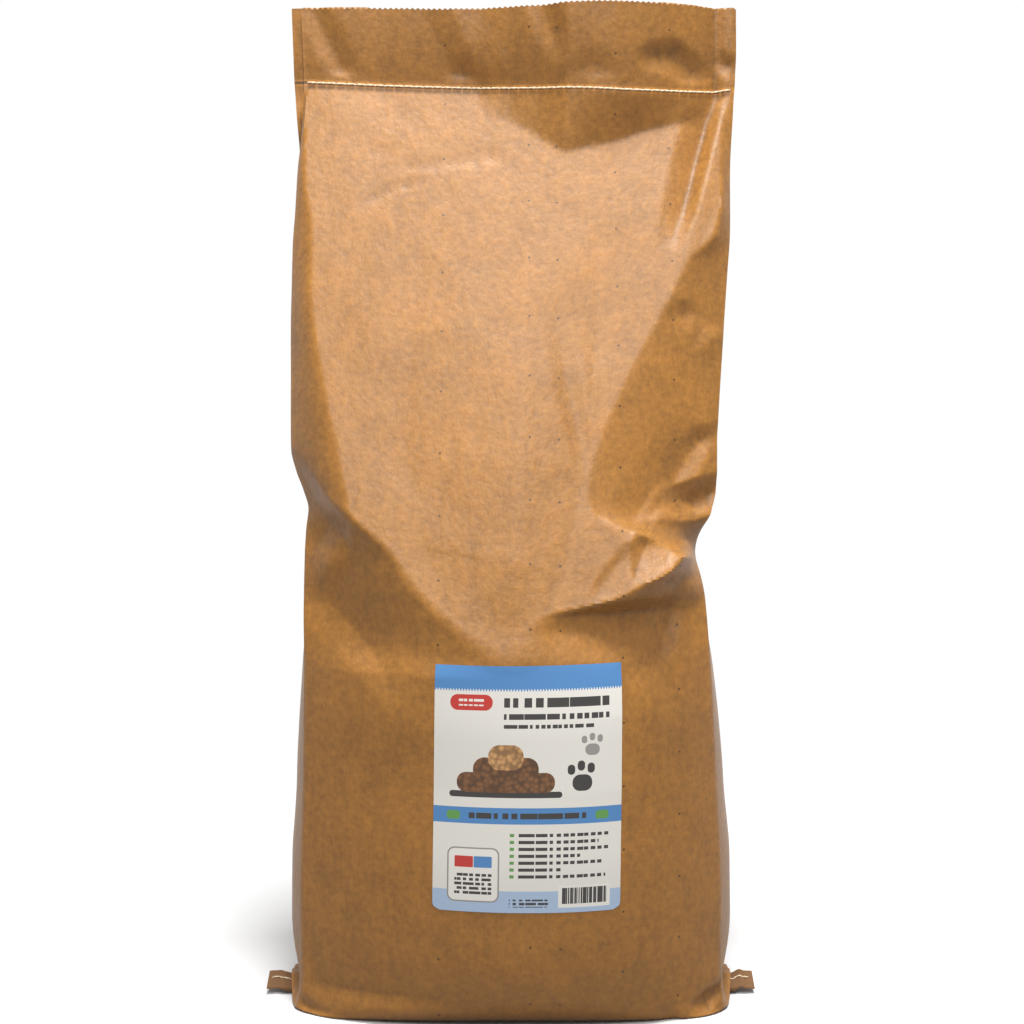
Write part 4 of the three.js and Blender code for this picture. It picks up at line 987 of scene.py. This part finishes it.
def crease_of(rings):
    """How far each point of the grid stands out from its neighbours: 1 on a sharp ridge, -1 in a groove."""
    around = (np.roll(rings, 1, axis=1) + np.roll(rings, -1, axis=1)) / 2
    above = np.concatenate([rings[1:], rings[-1:]])
    below = np.concatenate([rings[:1], rings[:-1]])
    along = np.roll(rings, -1, axis=1) - np.roll(rings, 1, axis=1)
    normal = np.cross(along, above - below)
    normal /= np.maximum(np.linalg.norm(normal, axis=-1, keepdims=True), 1e-6)
    stand = rings - (around + (above + below) / 2) / 2
    return np.clip((stand * normal).sum(axis=-1) / FULL_CREASE, -1, 1)


def seam_way(x):
    """How far along the mouth seam each x lies, from the first needle hole."""
    left = left_edge(SEAM_HEIGHT) + SEAM_MARGIN
    along = np.arange(left, right_edge(SEAM_HEIGHT), SEAM_STEP)
    height = seam_height(along)
    return np.interp(x, along, run_along(np.stack([along, front_sheet(along, height), height], axis=-1)))


class SACK_OT_paper(bpy.types.Operator):
    """Makes the paper sack as one lofted skin with its gussets, folds and folded-under bottom"""

    bl_idname = "sack.paper"
    bl_label = "Paper sack"

    def execute(self, context):
        settings = context.scene.sack
        rings = np.concatenate([bottom_rings(), wall_rings(sack_levels())])
        rings[-1, 0:FRONT_STEPS + 1:2, 2] -= settings.edge_teeth / MM
        rows, count = rings.shape[:2]
        faces = tube_quads(rows, count).reshape(-1, 4).tolist()
        faces += [(a, c, b) for a, b, c in fill_end(rings[0])]
        top = (rows - 1) * count
        faces += [(top + a, top + b, top + c) for a, b, c in fill_end(rings[-1])]
        material = kraft_paper(settings.paper)
        piece = make_piece("paper_sack", rings.reshape(-1, 3), faces, material, "sack")
        x, z = rings[..., 0], rings[..., 2]
        # The third value, how far each point stands out, darkens grooves as painted shade and lightens
        # ridges as rubbed wear in the paper's material.
        paper = np.stack([seam_way(x), z - seam_height(x), crease_of(rings)], axis=-1)
        layer = piece.data.attributes.new("paper", "FLOAT_VECTOR", "POINT")
        layer.data.foreach_set("vector", paper.reshape(-1).astype(np.float32))
        bpy.ops.object.shade_smooth_by_angle(angle=SMOOTH_ANGLE)
        return {"FINISHED"}


def label_line(z, ways):
    """x of the places that lie given ways along the paper from the label's middle, at height z."""
    x = np.linspace(LABEL_MIDDLE - LABEL_WIDTH * 0.6, LABEL_MIDDLE + LABEL_WIDTH * 0.6, 400)
    run = run_along(np.stack([x, front_sheet(x, np.full_like(x, z))], axis=-1))
    tilt = LABEL_TILT * (z - LABEL_LOW - LABEL_HEIGHT / 2)
    run -= np.interp(LABEL_MIDDLE + tilt, x, run)
    return np.interp(ways, run, x)


class SACK_OT_label(bpy.types.Operator):
    """Bends the adhesive label over the front of the sack"""

    bl_idname = "sack.label"
    bl_label = "Label"

    def execute(self, context):
        settings = context.scene.label
        radius = settings.corner / MM
        across = np.linspace(-1, 1, LABEL_COLUMNS + 1)
        points = []
        prints = []
        for row in range(LABEL_ROWS + 1):
            up = LABEL_HEIGHT * row / LABEL_ROWS
            into = max(0, radius - up)
            half = LABEL_WIDTH / 2 - radius + math.sqrt(radius ** 2 - into ** 2)
            z = LABEL_LOW + up
            x = label_line(z, across * half)
            y = front_sheet(x, np.full_like(x, z)) - LABEL_CLEAR
            points.append(np.stack([x, y, np.full_like(x, z)], axis=-1))
            prints.append(np.stack([across * half + LABEL_WIDTH / 2, np.full_like(x, up)], axis=-1))
        faces = tube_quads(LABEL_ROWS + 1, LABEL_COLUMNS + 1)[:, :-1].reshape(-1, 4).tolist()
        material = printed_label(settings.paper)
        piece = make_piece("front_label", np.concatenate(points), faces, material, "label")
        uv = piece.data.uv_layers.new(name="print")
        flat = np.concatenate(prints) / LABEL_HEIGHT
        corners = np.empty(len(piece.data.loops), dtype=np.int32)
        piece.data.loops.foreach_get("vertex_index", corners)
        uv.data.foreach_set("uv", flat[corners].reshape(-1).astype(np.float32))
        thick = piece.modifiers.new("paper", "SOLIDIFY")
        thick.thickness = LABEL_THICKNESS * MM
        thick.offset = 1
        bpy.ops.object.modifier_apply(modifier=thick.name)
        bpy.ops.object.shade_smooth_by_angle(angle=SMOOTH_ANGLE)
        return {"FINISHED"}


def strand(path, across, out, radius):
    """A tube of twisted two-ply thread along a path, as points and faces in millimetres."""
    angle = np.arange(STRAND_SIDES) * 2 * math.pi / STRAND_SIDES
    twist = run_along(path)[:, None] * 2 * math.pi / TWIST_LENGTH
    reach = radius * (PLY_WAIST + PLY_BULGE * np.cos(2 * angle[None, :] + twist))
    ring = across[:, None, :] * (np.cos(angle) * reach)[..., None]
    ring = path[:, None, :] + ring + out[:, None, :] * (np.sin(angle) * reach)[..., None]
    count = len(path)
    faces = tube_quads(count, STRAND_SIDES)[..., [0, 3, 2, 1]].reshape(-1, 4).tolist()
    faces.append(list(range(STRAND_SIDES)))
    faces.append([(count - 1) * STRAND_SIDES + i for i in reversed(range(STRAND_SIDES))])
    return ring.reshape(-1, 3), faces


def seam_strand(line, facing, radius, dip, sway, phase):
    """A strand laid along a seam line: it dips into the paper at each needle hole and may sway sideways."""
    run = run_along(line)
    ways = np.arange(0, run[-1], STRAND_STEP)
    path = np.stack([np.interp(ways, run, line[:, k]) for k in range(3)], axis=-1)
    normal = np.stack([np.interp(ways, run, facing[:, k]) for k in range(3)], axis=-1)
    along = unit(np.gradient(path, axis=0))
    normal = unit(normal - (normal * along).sum(axis=1, keepdims=True) * along)
    across = np.cross(normal, along)
    within = (ways / STITCH) % 1
    hole = np.minimum(within, 1 - within) * STITCH
    height = radius + 0.05 - dip * (1 - smooth(hole, 0, HOLE_REACH))
    path = path + normal * height[:, None] + across * (sway * np.sin(2 * math.pi * within + phase))[:, None]
    return strand(path, across, normal, radius)


def lay_thread(name, node, line, facing, strands, material):
    """A seam's thread, of one strand or more, as one piece."""
    points = []
    faces = []
    offset = 0
    for setting in strands:
        some_points, some_faces = seam_strand(line, facing, *setting)
        points.append(some_points)
        faces += [[offset + i for i in face] for face in some_faces]
        offset += len(some_points)
    make_piece(name, np.concatenate(points), faces, material, node)


def sheet_line(x, depth_of, side):
    """The mouth seam's line on a sheet, and the sheet's unit normals along it, turned to one side."""
    z = seam_height(x)
    step = 1.5
    d_x = (depth_of(x + step, z) - depth_of(x - step, z)) / (2 * step)
    d_z = (depth_of(x, z + step) - depth_of(x, z - step)) / (2 * step)
    line = np.stack([x, depth_of(x, z), z], axis=-1)
    return line, unit(np.stack([d_x, -np.ones_like(x), d_z], axis=-1) * side)


def fin_corner(x, top, root):
    """A point line of the bottom fin's free edge or root, above or below, for each x."""
    step = BOTTOM[1] if root else BOTTOM[0]
    upper = (step[0], step[1], step[5][0], step[5][2])
    lower = (step[3], step[4], step[5][1], step[5][2])
    args, other = (upper, lower) if top else (lower, upper)
    within = np.clip(x, -HALF, HALF)
    past = np.abs(x - within)
    closing = smooth(past, 0, TAPE_TAIL / 2)[:, None] / 2
    point = lerp(bottom_sheet(within / HALF, *args), bottom_sheet(within / HALF, *other), closing)
    point[:, 0] = x
    loose = smooth(past, 0, TAIL_LOOSE)
    point[:, 2] += loose * (waves(TAIL_RISE, x, np.full_like(x, 3)) + TAIL_LIFT[root])
    point[:, 1] += loose * waves(TAIL_SWAY, x, np.full_like(x, 40))
    return point


class SACK_OT_sewing(bpy.types.Operator):
    """Lays the chain stitch of the mouth and of the bottom seam"""

    bl_idname = "sack.sewing"
    bl_label = "Sewing"

    def execute(self, context):
        material = sewing_thread(context.scene.sewing.thread)
        left = left_edge(SEAM_HEIGHT) + SEAM_MARGIN
        x = np.arange(left, right_edge(SEAM_HEIGHT) - SEAM_MARGIN, SEAM_STEP)
        lay_thread("mouth_needle_thread", "top_needle_thread", *sheet_line(x, front_sheet, 1),
                   MOUTH_NEEDLE, material)
        lay_thread("mouth_looper_thread", "top_looper_thread", *sheet_line(x - SHEET_SHIFT, back_sheet, -1),
                   LOOPER, material)
        reach = HALF + TAPE_TAIL - SEAM_MARGIN
        x = np.arange(-reach, reach, SEAM_STEP)
        for top, strands, name, node in (
            (True, FIN_NEEDLE, "fin_needle_thread", "bottom_needle_thread"),
            (False, LOOPER, "fin_looper_thread", "bottom_looper_thread"),
        ):
            edge = fin_corner(x, top, False)
            root = fin_corner(x, top, True)
            line = lerp(edge, root, 0.5)
            facing = unit(np.cross(root - edge, np.gradient(line, axis=0)))
            facing *= np.sign(facing[:, 2:3]) * (1 if top else -1)
            lay_thread(name, node, line + facing * (CLEAR + TAPE_THICKNESS), facing, strands, material)
        return {"FINISHED"}


class SACK_OT_tape(bpy.types.Operator):
    """Folds the crepe tape over the bottom seam"""

    bl_idname = "sack.tape"
    bl_label = "Crepe tape"

    def execute(self, context):
        x = np.arange(-HALF - TAPE_TAIL, HALF + TAPE_TAIL + 0.5, 1.0)
        edge_top = fin_corner(x, True, False)
        edge_low = fin_corner(x, False, False)
        in_top = unit(fin_corner(x, True, True) - edge_top)
        in_low = unit(fin_corner(x, False, True) - edge_low)
        out_top = np.stack([0 * x, -in_top[:, 2], in_top[:, 1]], axis=-1)
        out_low = np.stack([0 * x, in_low[:, 2], -in_low[:, 1]], axis=-1)
        crepe = (waves(CREPE_WAVES, x, np.full_like(x, 7)) + 0.1)[:, None]
        far = CLEAR + TAPE_THICKNESS
        cover = [TAPE_COVER * i / 8 for i in range(9)]
        outer = [edge_top + in_top * way + out_top * (far + crepe) for way in reversed(cover)]
        outer += [edge_top - in_top * far, edge_low - in_low * far]
        outer += [edge_low + in_low * way + out_low * (far + crepe) for way in cover]
        inner = [edge_low + in_low * way + out_low * CLEAR for way in reversed(cover)]
        inner += [edge_low - in_low * CLEAR, edge_top - in_top * CLEAR]
        inner += [edge_top + in_top * way + out_top * CLEAR for way in cover]
        sections = np.stack(outer + inner, axis=1)
        count, corners = sections.shape[:2]
        faces = tube_quads(count, corners).reshape(-1, 4).tolist()
        end = (count - 1) * corners
        for i in range(corners // 2 - 1):
            j = corners - 1 - i
            faces.append((i, j, j - 1, i + 1))
            faces.append((end + i, end + i + 1, end + j - 1, end + j))
        material = crepe_tape(context.scene.sewing.tape)
        make_piece("fin_tape", sections.reshape(-1, 3), faces, material, "bottom_tape")
        return {"FINISHED"}


class SACK_OT_stage(bpy.types.Operator):
    """Sets the pale floor, the soft overhead light and the camera"""

    bl_idname = "sack.stage"
    bl_label = "Stage"

    def execute(self, context):
        bpy.ops.object.select_all(action="DESELECT")
        bpy.ops.mesh.primitive_plane_add(size=FLOOR_SIZE, location=(0, 0, -FLOOR_DROP))
        floor = context.object
        floor.name = "floor"
        material, add = new_material("pale floor")
        path = add("LightPath").outputs
        seen = add("Math", {0: path["Is Glossy Ray"], 1: FLOOR_GLOSS, 2: path["Is Camera Ray"]},
                   operation="MULTIPLY_ADD")
        tone = add("MapRange", {"Value": seen, "To Min": 0.25, "To Max": 0.8})
        diffuse = add("BsdfDiffuse", {"Color": tone})
        place = add("TexCoord").outputs["Object"]
        away = add("VectorMath", {0: place}, operation="LENGTH").outputs["Value"]
        fade = add("MapRange", {"Value": away, "From Min": FLOOR_FADE[0], "From Max": FLOOR_FADE[1]},
                   interpolation_type="SMOOTHSTEP")
        clear = add("BsdfTransparent")
        mixed = add("MixShader", {0: fade, 1: diffuse, 2: clear})
        add("OutputMaterial", {0: mixed})
        floor.data.materials.append(material)
        for name, place, size, power in LIGHTS:
            bpy.ops.object.light_add(type="AREA", location=place)
            light = context.object
            light.name = name
            aim = Vector(place) - Vector(LIGHT_AIM)
            light.rotation_euler = aim.to_track_quat("Z", "Y").to_euler()
            light.data.shape = "SQUARE"
            light.data.size = size
            light.data.energy = getattr(context.scene.stage, power)
        world = bpy.data.worlds.new("pale surroundings")
        world.use_nodes = True
        world.node_tree.nodes.clear()
        add = node_adder(world.node_tree)
        path = add("LightPath").outputs
        seen = 0.0
        for ray in ("Is Camera Ray", "Is Glossy Ray", "Is Transmission Ray"):
            seen = add("Math", {0: path[ray], 1: seen}, operation="MAXIMUM")
        level = add("MapRange", {"Value": seen, "To Min": 0.3, "To Max": 1.0})
        sky = add("Background", {"Color": (1, 1, 1, 1), "Strength": level})
        add("OutputWorld", {0: sky})
        context.scene.world = world
        context.scene.view_settings.view_transform = "Standard"
        bpy.ops.object.camera_add(location=CAMERA_PLACE, rotation=(math.radians(90 - CAMERA_DROP), 0, 0))
        camera = context.object
        camera.name = "camera"
        camera.data.sensor_width = SENSOR
        camera.data.lens = SENSOR * FOCAL_SHARE
        camera.data.shift_y = CAMERA_SHIFT
        context.scene.camera = camera
        return {"FINISHED"}


class SACK_PT_panel(bpy.types.Panel):
    """Lists the sack's pieces in the sidebar"""

    bl_idname = "SACK_PT_panel"
    bl_label = "Litter sack"
    bl_space_type = "VIEW_3D"
    bl_region_type = "UI"
    bl_category = "Sack"

    def draw(self, context):
        layout = self.layout
        scene = context.scene
        for group, names in (
            (scene.sack, ("paper", "edge_teeth")),
            (scene.label, ("paper", "corner")),
            (scene.sewing, ("thread", "tape")),
            (scene.stage, ("key_power", "front_power")),
        ):
            for name in names:
                layout.prop(group, name)
        for operator in PIECE_OPERATORS:
            layout.operator(operator.bl_idname)


GROUPS = {"sack": SackSettings, "label": LabelSettings, "sewing": SewingSettings, "stage": StageSettings}
PIECE_OPERATORS = (SACK_OT_paper, SACK_OT_label, SACK_OT_sewing, SACK_OT_tape, SACK_OT_stage)


def register():
    for group in GROUPS.values():
        bpy.utils.register_class(group)
    for name, group in GROUPS.items():
        setattr(bpy.types.Scene, name, bpy.props.PointerProperty(type=group))
    for operator in PIECE_OPERATORS:
        bpy.utils.register_class(operator)
    bpy.utils.register_class(SACK_PT_panel)


def unregister():
    bpy.utils.unregister_class(SACK_PT_panel)
    for operator in reversed(PIECE_OPERATORS):
        bpy.utils.unregister_class(operator)
    for name, group in GROUPS.items():
        delattr(bpy.types.Scene, name)
        bpy.utils.unregister_class(group)


def main():
    register()
    bpy.ops.sack.paper()
    bpy.ops.sack.label()
    bpy.ops.sack.sewing()
    bpy.ops.sack.tape()
    bpy.ops.sack.stage()


if __name__ == "__main__":
    main()
